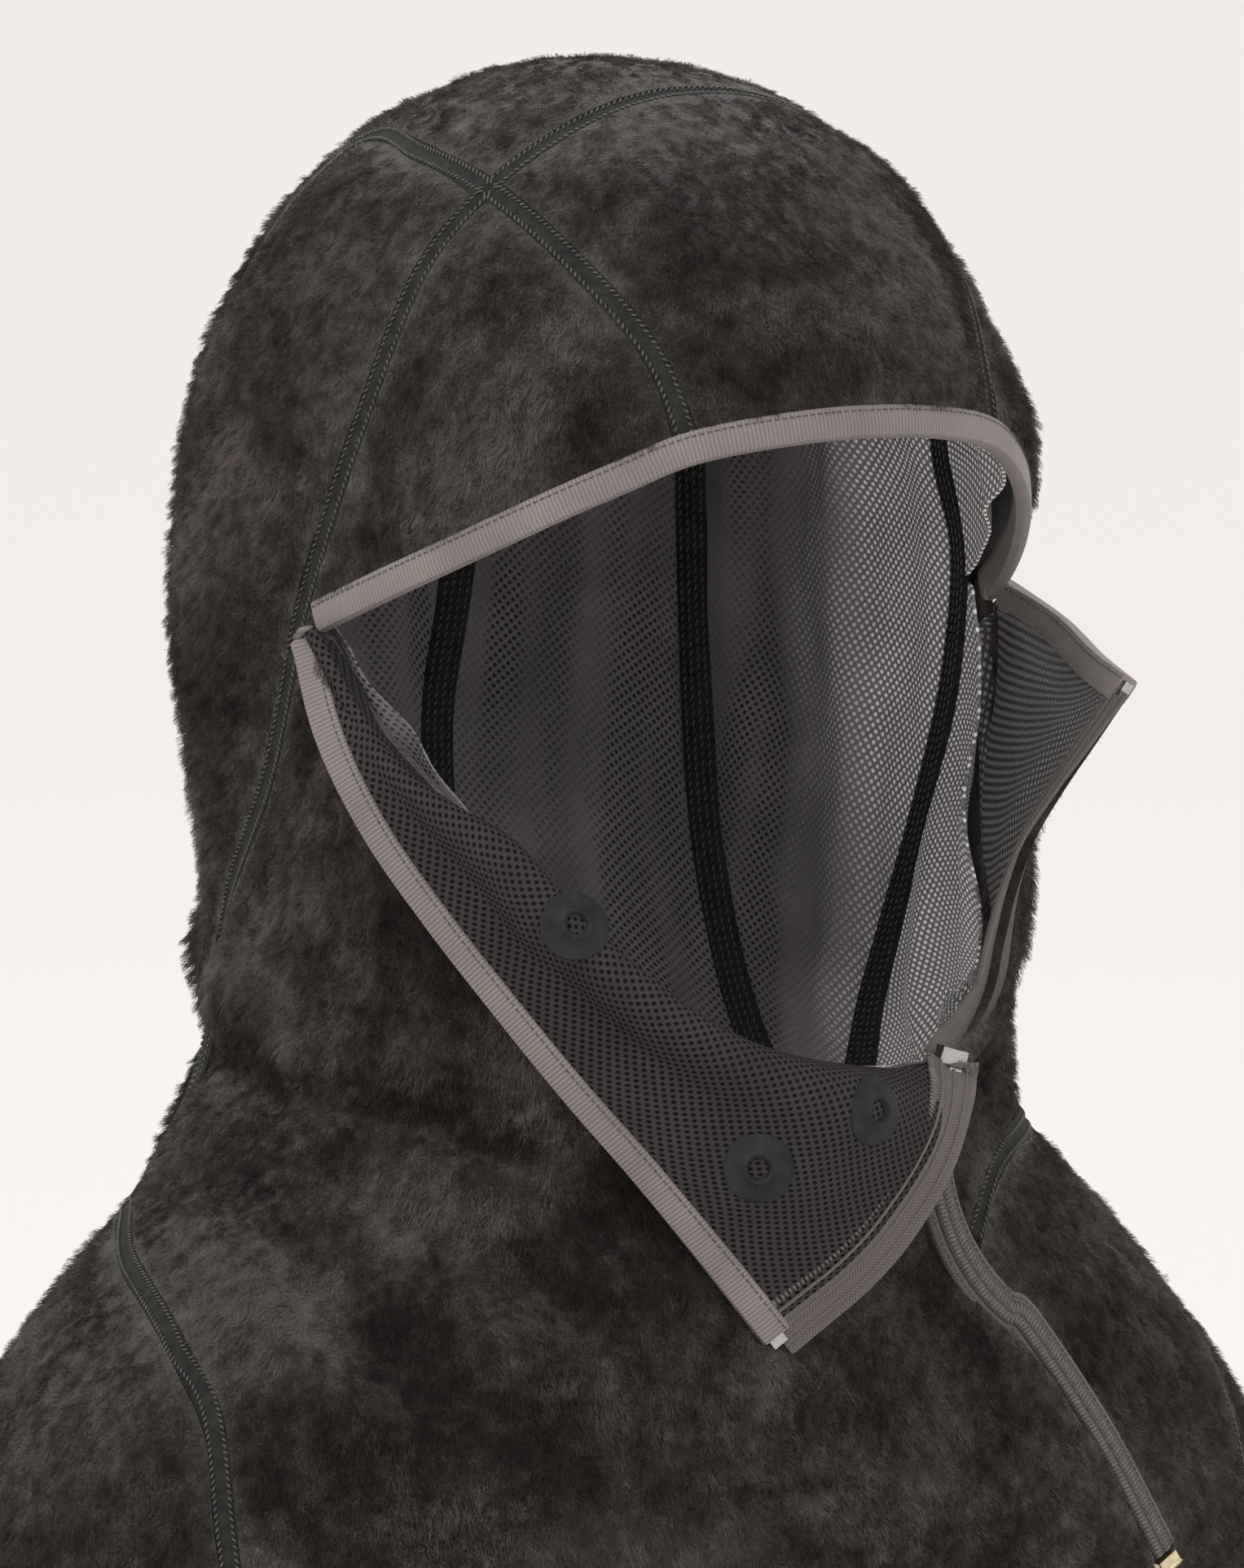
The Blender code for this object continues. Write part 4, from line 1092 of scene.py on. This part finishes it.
def swept(centre, normals, profile):
    """A bar swept along centre: profile lists (sideways, height) pairs; UVs run along it and round it."""
    ahead = np.gradient(centre, axis=0)
    ahead /= np.linalg.norm(ahead, axis=1, keepdims=True)
    side = np.cross(normals, ahead)
    side /= np.linalg.norm(side, axis=1, keepdims=True)
    up = np.cross(ahead, side)
    profile = np.asarray(profile, float)
    rows, cols = len(centre), len(profile)
    verts = centre[:, None] + side[:, None] * profile[None, :, 0, None]
    verts = verts + up[:, None] * profile[None, :, 1, None]
    steps = np.concatenate([[0], np.cumsum(np.linalg.norm(np.diff(centre, axis=0), axis=1))])
    round_it = np.concatenate([[0], np.cumsum(np.linalg.norm(np.diff(profile, axis=0), axis=1))])
    uvs = np.stack(np.broadcast_arrays(steps[:, None], round_it[None]), axis=2).reshape(-1, 2) * MM
    faces = []
    for i in range(rows - 1):
        for j in range(cols):
            k = (j + 1) % cols
            faces.append((i * cols + j, i * cols + k, (i + 1) * cols + k, (i + 1) * cols + j))
    faces.append(tuple(range(cols - 1, -1, -1)))
    faces.append(tuple((rows - 1) * cols + j for j in range(cols)))
    return verts.reshape(-1, 3), faces, uvs


def capsules(places, ahead, up, length, radius, sides=6):
    """Small rounded threads: one at each place, lying along ahead."""
    ahead = ahead / np.linalg.norm(ahead, axis=1, keepdims=True)
    across = np.cross(up, ahead)
    across /= np.linalg.norm(across, axis=1, keepdims=True)
    up = np.cross(ahead, across)
    rings = [(-0.5, 0.35), (-0.36, 0.9), (0.0, 1.0), (0.36, 0.9), (0.5, 0.35)]
    angles = np.linspace(0, 2 * math.pi, sides, endpoint=False)
    verts = []
    for along, wide in rings:
        bend = -0.35 * radius * (2 * along) ** 2
        for a in angles:
            spot = places + ahead * (length * along) + up * (bend + radius * wide * math.sin(a))
            verts.append(spot + across * (radius * wide * math.cos(a)))
    verts = np.stack(verts, axis=1)
    count = len(rings) * sides
    unit = []
    for r in range(len(rings) - 1):
        for k in range(sides):
            n = (k + 1) % sides
            unit.append((r * sides + k, r * sides + n, (r + 1) * sides + n, (r + 1) * sides + k))
    faces = []
    for i in range(len(places)):
        base = i * count
        faces += [tuple(v + base for v in face) for face in unit]
        faces.append(tuple(base + sides - 1 - k for k in range(sides)))
        faces.append(tuple(base + (len(rings) - 1) * sides + k for k in range(sides)))
    return verts.reshape(-1, 3), faces


def joined_piece(name, parts, materials):
    """One piece from several (points, faces, uvs or None, material number) parts."""
    verts, faces, uvs, which, start = [], [], [], [], 0
    for points, part_faces, part_uvs, number in parts:
        points = np.asarray(points)
        verts.append(points)
        faces += [tuple(v + start for v in face) for face in part_faces]
        uvs.append(part_uvs if part_uvs is not None else np.zeros((len(points), 2)))
        which += [number] * len(part_faces)
        start += len(points)
    return make_piece(name, np.vstack(verts), faces, materials, np.vstack(uvs), which)


def frames_of(curve, count, trims, lift=0.0):
    inner = trimmed(curve, *trims)
    return settle(evenly(inner, count), lift)


def along_offset(centre, normals, offset, lift, pitch):
    """Places, directions and normals at a pitch along a line beside centre."""
    ahead = np.gradient(centre, axis=0)
    ahead /= np.linalg.norm(ahead, axis=1, keepdims=True)
    side = np.cross(normals, ahead)
    side /= np.linalg.norm(side, axis=1, keepdims=True)
    line = centre + side * offset + normals * lift
    steps = np.concatenate([[0], np.cumsum(np.linalg.norm(np.diff(line, axis=0), axis=1))])
    count = max(2, int(steps[-1] / pitch))
    wanted = (np.arange(count) + 0.5) * steps[-1] / count

    def picked(values):
        return np.stack([np.interp(wanted, steps, values[:, k]) for k in range(3)], axis=1)

    return [picked(values) for values in (line, ahead, normals, side)]


SEAM_FLOOR = -1.5  # a seam's outside tape, from the smooth shell
TAPE_FLOOR = -7.2  # the inner face of its inside tape


def seam_piece(node, curve, trims, materials, inside=True):
    """A recessed coverstitched seam outside and its tape inside, with two rows of stitches on each."""
    length = np.linalg.norm(np.diff(curve, axis=0), axis=1).sum()
    centre, normals = frames_of(curve, max(12, int(length / 2.5)), trims)
    half, deep = SEAM_HALF + 1.1, SEAM_FLOOR
    outer = [(half, deep - 1.2), (half, deep), (half * 0.55, deep + 0.35), (0, deep + 0.15)]
    outer += [(-half * 0.55, deep + 0.35), (-half, deep), (-half, deep - 1.2)]
    parts = [(*swept(centre, normals, outer[::-1]), 0)]
    stitch = []
    for offset in (-1.9, 1.9):
        places, ahead, up, side = along_offset(centre, normals, offset, deep + 0.6, 1.7)
        stitch.append(capsules(places, ahead + side * 0.9 * np.sign(offset), up, 1.5, 0.3))
    if inside:
        low = TAPE_FLOOR
        tape = [(4.5, low + 1.4), (4.6, low + 0.5), (4.0, low)]
        tape += [(-4.0, low), (-4.6, low + 0.5), (-4.5, low + 1.4)]
        parts.append((*swept(centre, normals, tape[::-1]), 0))
        for offset in (-3.0, -1.0, 1.0, 3.0):
            places, ahead, up, side = along_offset(centre, normals, offset, low - 0.12, 2.3)
            stitch.append(capsules(places, ahead + side * 0.3, up, 1.8, 0.28))
    for verts, faces in stitch:
        parts.append((verts, faces, None, 1))
    made = joined_piece(f"{node}_tape", parts, materials)
    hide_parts(node)
    return made


def binding_profile(half, high, low):
    """Fold-over elastic: a flat strap folded round the edge, open at the side away from it."""
    upper = [(half, high - 0.7), (half - 0.3, high - 0.15), (half * 0.6, high + 0.05), (0, high + 0.15)]
    upper += [(-half * 0.6, high + 0.05), (-half + 0.5, high - 0.25), (-half - 0.1, (high + low) / 2)]
    lower = [(-half + 0.5, low + 0.25), (-half * 0.6, low - 0.05), (0, low - 0.15), (half * 0.6, low - 0.05)]
    return upper + lower + [(half - 0.3, low + 0.15), (half, low + 0.7)]


def binding_piece(node, centre, normals, high, low, materials):
    """Fold-over elastic along a line, with a row of stitches on each face."""
    profile = binding_profile(BINDING_HALF, high, low)
    parts = [(*swept(centre, normals, profile[::-1]), 0)]
    for lift in (high + 0.12, low - 0.12):
        places, ahead, up, _ = along_offset(centre, normals, BINDING_STITCH, lift, 1.9)
        verts, faces = capsules(places, ahead, up, 1.35, 0.2)
        parts.append((verts, faces, None, 1))
    made = joined_piece(f"{node}_strap", parts, materials)
    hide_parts(node)
    return made


# ---------------------------------------------------------------- flaps


def smooth_between(a, b, x):
    x = np.clip((x - a) / (b - a), 0, 1)
    return x * x * (3 - 2 * x)


def flap_sheets(side, grid, normals, lining, fleece, pile):
    """The flap's mesh side and its fleece side, soft and slightly rumpled, from its fold to its trims."""
    face = normals
    mesh_side = grid + face * 1.0
    back = grid + face * 0.2
    made = cloth_piece(f"flap_lining_{side}_cloth", mesh_side, back, face, lining)
    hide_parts(f"flap_lining_{side}")
    follow_flap(made)
    front = grid - face * 0.1
    behind = grid - face * (0.1 + FLEECE)
    cover = cloth_piece(f"flap_fleece_{side}_cloth", behind, front, -face, fleece)
    cover.data.materials.append(pile)
    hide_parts(f"flap_fleece_{side}")
    follow_flap(cover)
    rows, cols = grid.shape[:2]
    inner = np.zeros((rows, cols))
    inner[3:-5, 2:-6] = 1.0
    seed = 90 + len(side)
    add_pile(cover, inner.ravel(), np.ones(rows * cols), area_of(grid), seed, density=0.8, length=2.6)
    return made, cover


def follow_flap(piece):
    """Bake the piece's placement into its points."""
    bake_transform(piece)


def zip_tape_piece(side, edge, normals, materials):
    """Half a zip: herringbone tape with sewn lines, and the row of coil teeth along its free edge."""
    half = TAPE_HALF
    tape = [(half, 0.0), (half, 0.9), (half * 0.3, 1.15), (-half * 0.3, 1.05), (-half, 0.8), (-half, 0.0)]
    parts = [(*swept(edge, normals, tape[::-1]), 0)]
    for offset in (-half * 0.72, -half * 0.1, half * 0.5):
        ridge = [(offset + 0.45, 0.7), (offset + 0.3, 1.5), (offset - 0.3, 1.5), (offset - 0.45, 0.7)]
        parts.append((*swept(edge, normals, ridge[::-1]), 0))
    places, ahead, up, across = along_offset(edge, normals, (half + 0.6) * TEETH[side], 0.7, 1.25)
    verts, faces = capsules(places, across + ahead * 0.1, up, 2.6, 0.55, 8)
    parts.append((verts, faces, None, 1))
    made = joined_piece(f"flap_zip_{side}", parts, materials)
    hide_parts(f"flap_zip_tape_{side}")
    follow_flap(made)
    return made


TEETH = {"right": -1.0, "left": 1.0}  # which side of the tape the coil is on, away from the cloth


def flap_relief(side, u, v):
    """Rumples of a flap: u runs from the eye corner to the zip, v from the fold to the binding."""
    if side == "left":
        hollow = 10.0 * np.sin(math.pi * v**0.8) * np.sin(math.pi * u**1.3)
        return hollow + 2.5 * np.sin(u * 11 + v * 5) * v * (1 - v) + 1.5 * np.sin(v * 9) * u * (1 - u)
    roll = 6.0 * np.exp(-(((v - 0.2) / 0.15) ** 2)) * (0.3 + 0.7 * smooth_between(0.1, 0.5, u))
    roll = roll + 6.0 * np.exp(-(((v - 0.13) / 0.1) ** 2)) * np.exp(-(((u - 0.42) / 0.12) ** 2))
    dent = -5.5 * np.exp(-(((v - 0.55) / 0.2) ** 2)) * np.exp(-(((u - 0.6) / 0.25) ** 2))
    waves = 2.4 * np.sin(u * 22 + v * 7) * np.exp(-(((v - 0.2) / 0.2) ** 2)) * (1.1 - u)
    ruck = 3.0 * np.exp(-(((u - 0.33 - 0.25 * v) / 0.05) ** 2)) * np.exp(-(((v - 0.3) / 0.3) ** 2))
    near_zip = 4.5 * np.exp(-(((u - 0.84) / 0.08) ** 2)) * np.exp(-(((v - 0.5) / 0.3) ** 2))
    return roll + dent + waves + ruck + near_zip


def build_flap_visual(side, fold, binding, zip_edge, mats):
    rows = cols = FLAP_GRID
    coarse = coons(fold, resample(binding, rows), np.repeat(fold[:1], cols, axis=0), resample(zip_edge, cols))
    coarse[0] = np.linspace(fold[0], binding[0], cols)
    size = 84 if side == "right" else 60
    facing = FACING[side]
    grid = resized(coarse, size, size)
    v, u = np.meshgrid(np.linspace(0, 1, size), np.linspace(0, 1, size))
    normals = grid_normals(grid) * facing
    edge_hold = np.clip((1 - v) * 6, 0, 1) * np.clip((1 - u) * 6, 0, 1)
    grid = grid + normals * (flap_relief(side, u, v) * edge_hold)[..., None]
    grid = tucked(grid)
    normals = grid_normals(grid) * facing
    size, wide = grid.shape[:2]
    flap_sheets(side, grid[2:], normals[2:], mats[f"flap_{side}"], mats["fleece"], mats["pile"])
    edge = evenly(grid[:, -1], 90)
    up = resized(normals, 90, wide)[:, -1]
    made = binding_piece(f"flap_binding_{side}", edge, up, 1.7, -2.6, [mats["binding"], mats["thread"]])
    follow_flap(made)
    line = evenly(grid[-1, TUCK:], 80)
    up = resized(normals[:, TUCK:], size, 80)[-1]
    zip_tape_piece(side, line, up, [mats["tape"], mats["coil"]])
    return grid[:, TUCK:], normals[:, TUCK:]


FACING = {"right": 1, "left": -1}
TUCK = 7  # extra columns of a flap's cloth that roll over the fold and down behind the front edge


def tucked(grid):
    """The flap with its cloth carried on over the fold and down inside the hood, to the lining."""
    low = settle(grid[:, 0])[0]
    inward = []
    for k in range(TUCK, 0, -1):
        share = k / TUCK
        down = 9.0 * share**1.2
        angle = min(1.0, share * 1.6) * math.pi / 2
        drop = low - np.array([0, 0, down])
        on_shell, out = settle(drop)
        lift = 4.0 - 8.4 * math.sin(angle) ** 1.3
        inward.append(on_shell + out * lift)
    return np.concatenate([np.stack(inward, axis=1), grid], axis=1)


def build_patches(grid, normals, mats):
    size = grid.shape[0] - 1
    for number, (row, col) in enumerate(EYELETS, 1):
        i, j = round(row / (FLAP_GRID - 1) * size), round(col / (FLAP_GRID - 1) * (grid.shape[1] - 1))
        centre = grid[i, j]
        normal = normals[max(i - 3, 0) : i + 4, max(j - 3, 0) : j + 4].reshape(-1, 3).mean(axis=0)
        normal /= np.linalg.norm(normal)
        across = np.cross(normal, (0, 0, 1.0))
        across /= np.linalg.norm(across)
        other = np.cross(normal, across)
        flat = grid.reshape(-1, 3)
        sides = 40
        profile = [(8.6, 0.9), (8.5, 1.35), (7.4, 1.55), (4.6, 1.6), (4.1, 2.1)]
        profile += [(3.6, 2.35), (3.1, 2.1), (2.6, 1.4), (2.4, 0.6)]
        verts = []
        for r, h in profile:
            for k in range(sides):
                a = 2 * math.pi * k / sides
                spot = centre + (across * math.cos(a) + other * math.sin(a)) * r
                near = np.argmin(np.linalg.norm(flat - spot, axis=1))
                level = np.dot(flat[near] - centre, normal)
                verts.append(spot + normal * (h + level * min(1.0, r / 5)))
        faces = []
        for ring in range(len(profile) - 1):
            for k in range(sides):
                n = (k + 1) % sides
                low, high = ring * sides, (ring + 1) * sides
                faces.append((low + k, low + n, high + n, high + k))
        faces.append(tuple(range(sides - 1, -1, -1)))
        faces.append(tuple((len(profile) - 1) * sides + k for k in range(sides)))
        made = make_piece(f"eyelet_film_{number}", verts, faces, [mats["film"]])
        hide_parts(f"eyelet_patch_{number}")
        follow_flap(made)


# ---------------------------------------------------------------- zip


def rounded_box(name, centre, along, up, size, finish, bevel=0.5):
    along = np.asarray(along, float) / np.linalg.norm(along)
    across = np.cross(up, along)
    across /= np.linalg.norm(across)
    up = np.cross(along, across)
    middle = np.asarray(centre, float)
    rim = [(-1, -1), (1, -1), (1, 1), (-1, 1)]
    ends = [middle + along * size[0] * h for h in (-0.5, 0.5)]
    verts = [end + across * size[1] * a / 2 + up * size[2] * b / 2 for end in ends for a, b in rim]
    faces = [(0, 1, 2, 3), (7, 6, 5, 4)] + [(i, (i + 1) % 4, (i + 1) % 4 + 4, i + 4) for i in range(4)]
    made = make_piece(name, verts, [tuple(reversed(f)) for f in faces], [finish])
    rounding = made.modifiers.new("rounding", "BEVEL")
    rounding.width = bevel * MM
    rounding.segments = 3
    return made


def build_zip_visual(mats):
    path = zip_path(220, 2.0)
    facing = np.tile((0.0, -1.0, 0.0), (len(path), 1))
    half_core = [(2.6, -1.6), (2.7, 0.6), (1.6, 1.2), (0.25, 1.05)]
    core = [*half_core, (0, 0.7), *[(-across, high) for across, high in half_core[::-1]]]
    parts = [(*swept(path, facing, core[::-1]), 0)]
    for offset, lean in ((-1.35, 1.0), (1.35, -1.0)):
        places, ahead, up, across = along_offset(path, facing, offset, 1.0, 1.15)
        verts, faces = capsules(places, across + ahead * 0.25 * lean, up, 2.5, 0.5, 8)
        parts.append((verts, faces, None, 1))
    chain = joined_piece("zip_coils", parts, [mats["tape_dark"], mats["coil"]])
    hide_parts("zip_chain")
    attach(chain, "hood")
    for side, sign in (("right", 1.0), ("left", -1.0)):
        strip = [(2.2, -2.4), (2.3, -0.5), (3.0, 0.1), (4.6, -0.1), (5.2, -0.8), (5.2, -1.6), (4.0, -2.2)]
        strip = [(sign * across, high) for across, high in strip]
        if sign > 0:
            strip = strip[::-1]
        centre, normals = path[8:], facing[8:]
        parts = [(*swept(centre, normals, strip), 0)]
        places, ahead, up, _ = along_offset(centre, normals, sign * 4.0, 0.1, 1.9)
        verts, faces = capsules(places, ahead, up, 1.4, 0.22)
        parts.append((verts, faces, None, 1))
        tape = joined_piece(f"zip_tape_{side}_woven", parts, [mats["tape"], mats["thread"]])
        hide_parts(f"zip_tape_{side}")
        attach(tape, "hood")
    end = path[-1] - path[-2]
    end /= np.linalg.norm(end)
    place, size = path[-1] + end * 2.6, (4.0, 6.4, 3.4)
    stop = rounded_box("zip_bottom_stop_metal", place, end, (0, -1, 0), size, mats["brass"], 0.6)
    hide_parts("zip_bottom_stop")
    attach(stop, "hood")
    build_slider_visual(mats)


def build_slider_visual(mats):
    angle = math.radians(ZIP_TOP_ANGLE)
    down = np.array([-math.sin(angle), 0, math.cos(angle)])
    out = np.array([0, -1.0, 0])
    across = np.cross(down, out)
    centre = np.array(on_zip_arc(angle))
    saddle = [(-4.1, 0.6), (-3.1, 0.6), (-3.1, 2.4), (3.1, 2.4)]
    saddle += [(3.1, 0.6), (4.1, 0.6), (4.1, 3.9), (-4.1, 3.9)]
    verts = [centre + down * d + across * a + out * h for d in (-4.5, 4.5) for a, h in saddle]
    count = len(saddle)
    faces = [tuple(range(count)), tuple(range(2 * count - 1, count - 1, -1))]
    faces += [(i, (i + 1) % count, (i + 1) % count + count, i + count) for i in range(count)]
    body = make_piece("slider_metal", verts, [tuple(reversed(f)) for f in faces], [mats["metal"]])
    rounding = body.modifiers.new("rounding", "BEVEL")
    rounding.width = 0.4 * MM
    rounding.segments = 3
    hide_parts("slider_body")
    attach(body, "zip_slider")
    place, size = centre + down * 8.0 + out * 5.0, (16.0, 4.4, 1.2)
    pull = rounded_box("slider_pull_metal", place, down, out, size, mats["metal"], 0.5)
    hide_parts("slider_pull")
    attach(pull, "zip_pull")


# ---------------------------------------------------------------- hem


def build_hem_visual(mats):
    around = np.linspace(0, 2 * math.pi, 260, endpoint=False)
    profile = [(0.0, 0.0), (0.9, 0.6), (1.0, 4), (0.9, 9.0), (0.3, 11.4)]
    profile += [(-1.5, 12.0), (-4.2, 11.4), (-4.4, 6), (-4.2, 0.8), (-3.4, 0.0)]
    verts, uvs = [], []
    for out, height in profile:
        level = np.stack([np.sin(around), -np.cos(around), np.full(around.shape, HEM_Z + height)], axis=1)
        level[:, :2] *= 100
        on_shell = settle(level)[0]
        on_shell[:, :2] *= 1 + out / np.linalg.norm(on_shell[:, :2], axis=1, keepdims=True)
        on_shell[:, 2] = HEM_Z + height
        verts.append(on_shell)
        uvs.append(np.stack([around * 0.17, np.full(around.shape, height * MM)], axis=1))
    count = len(around)
    faces = []
    for ring in range(len(profile)):
        after = (ring + 1) % len(profile)
        for i in range(count):
            j = (i + 1) % count
            faces.append((ring * count + i, ring * count + j, after * count + j, after * count + i))
    made = make_piece("hem_band_cloth", np.vstack(verts), faces, [mats["seam"]], np.vstack(uvs))
    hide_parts("hem_band")
    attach(made, "hood")


# ---------------------------------------------------------------- the whole


COLLAR_ROW = 11  # the row of the right front panel above which it has a lining


def build_all():
    aim, right, up, back = build_camera()
    build_studio(aim, right, up, back)
    mats = {
        "pile": pile_material(),
        "fleece": fleece_material(),
        # The lining and the left flap's mesh get painted daylight: a glow colour and an emission in their
        # holes.
        "lining": mesh_material("lining_mesh", (0.235, 0.215, 0.232), (0.03, 0.027, 0.03), (0.95, 0.94, 0.9)),
        "flap_right": mesh_material("flap_mesh_right", (0.05, 0.044, 0.044), (0.001,) * 3),
        "flap_left": mesh_material("flap_mesh_left", (0.05, 0.047, 0.048), (0.004,) * 3, (0.2, 0.195, 0.19)),
        "seam": seam_material(),
        "thread": thread_material(),
        "binding": binding_material(),
        "tape": tape_material("zip_tape_woven", (0.075, 0.062, 0.058), (0.2, 0.168, 0.158)),
        "tape_dark": tape_material("zip_tape_core", (0.07, 0.058, 0.055), (0.17, 0.143, 0.135)),
        "coil": coil_material(),
        "metal": metal_material("nickel", (0.5, 0.5, 0.49)),
        "brass": metal_material("pale_brass", (0.75, 0.68, 0.45)),
        "film": film_material(),
    }
    curves = seam_curves()
    lines = [curve for name, curve in curves.items() if name not in ("brow", "zip")]
    TRIMS.extend([curves["brow"], curves["zip"], route(FOLD_RIGHT, DENSE), route(FOLD_LEFT, DENSE)])
    panels = {**hood_panels(curves), **yoke_panels(curves)}
    for node, grid in panels.items():
        if node == "brow_lining":
            continue
        made = fleece_piece(node, grid, lines, mats["fleece"], mats["pile"])
        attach(made, "hood")
    behind = -FLEECE - PLY_GAP
    linings = {
        "crown_back_lining": (panels["crown_back_panel"], behind),
        "brow_lining": (panels["brow_lining"], -FLEECE - 3 * PLY_GAP),
        "cheek_lining_left": (panels["cheek_panel_left"], behind),
    }
    for side, _ in SIDES:
        linings[f"ear_lining_{side}"] = (panels[f"ear_panel_{side}"], behind)
        linings[f"side_back_lining_{side}"] = (panels[f"side_back_panel_{side}"], behind)
    linings["collar_lining_right"] = (panels["front_panel_right"][COLLAR_ROW:], behind)
    for node, (grid, front) in linings.items():
        made = lining_piece(node, grid, lines, mats["lining"], front)
        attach(made, "hood")

    both = [mats["seam"], mats["thread"]]
    ends = {"front": (0.2, 3.0), "side": (0.2, 2.0), "back": (0.2, 2.0), "neck_side": (0.5, 2.0)}
    ends["raglan"] = (11.0, 11.0)
    made = [
        seam_piece("crown_seam", curves["crown_seam"], (0.5, 0.5), both),
        seam_piece("nape_seam", curves["nape_seam"], (1.0, 1.0), both),
        seam_piece("neck_join_seam", curves["neck_join_seam"], (8.0, 6.0), both, inside=False),
    ]
    for side, _ in SIDES:
        for name, trims in ends.items():
            node = f"{name}_seam_{side}"
            made.append(seam_piece(node, curves[node], trims, both, inside=name not in ("front", "raglan")))
    below_zip = part_of(curves["zip"], (ZIP_STOP[0], ZIP_PLANE_Y, ZIP_STOP[1]), HEM_JOIN)
    made.append(seam_piece("chest_seam", below_zip, (6.0, 9.0), both, inside=False))
    for piece in made:
        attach(piece, "hood")

    centre, normals = settle(evenly(trimmed(curves["brow"], 0.5, 0.1), 150), 0.0)
    made = binding_piece("brow_binding", centre, normals, 0.3, -3.9, [mats["binding"], mats["thread"]])
    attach(made, "hood")
    build_hem_visual(mats)

    fold = settle(resample(FOLD_RIGHT, FLAP_GRID), 4.0)[0]
    grid, face = build_flap_visual("right", fold, BINDING_RIGHT, ZIP_EDGE_RIGHT, mats)
    build_patches(grid, face, mats)
    fold = settle(resample(FOLD_LEFT, FLAP_GRID), 1.0)[0]
    build_flap_visual("left", fold, BINDING_LEFT, ZIP_EDGE_LEFT, mats)
    build_zip_visual(mats)
    for side in ("right", "left"):
        node = f"flap_top_stop_{side}"
        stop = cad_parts[node]
        for slot in stop.material_slots:
            slot.material = mats["metal"]


build_all()
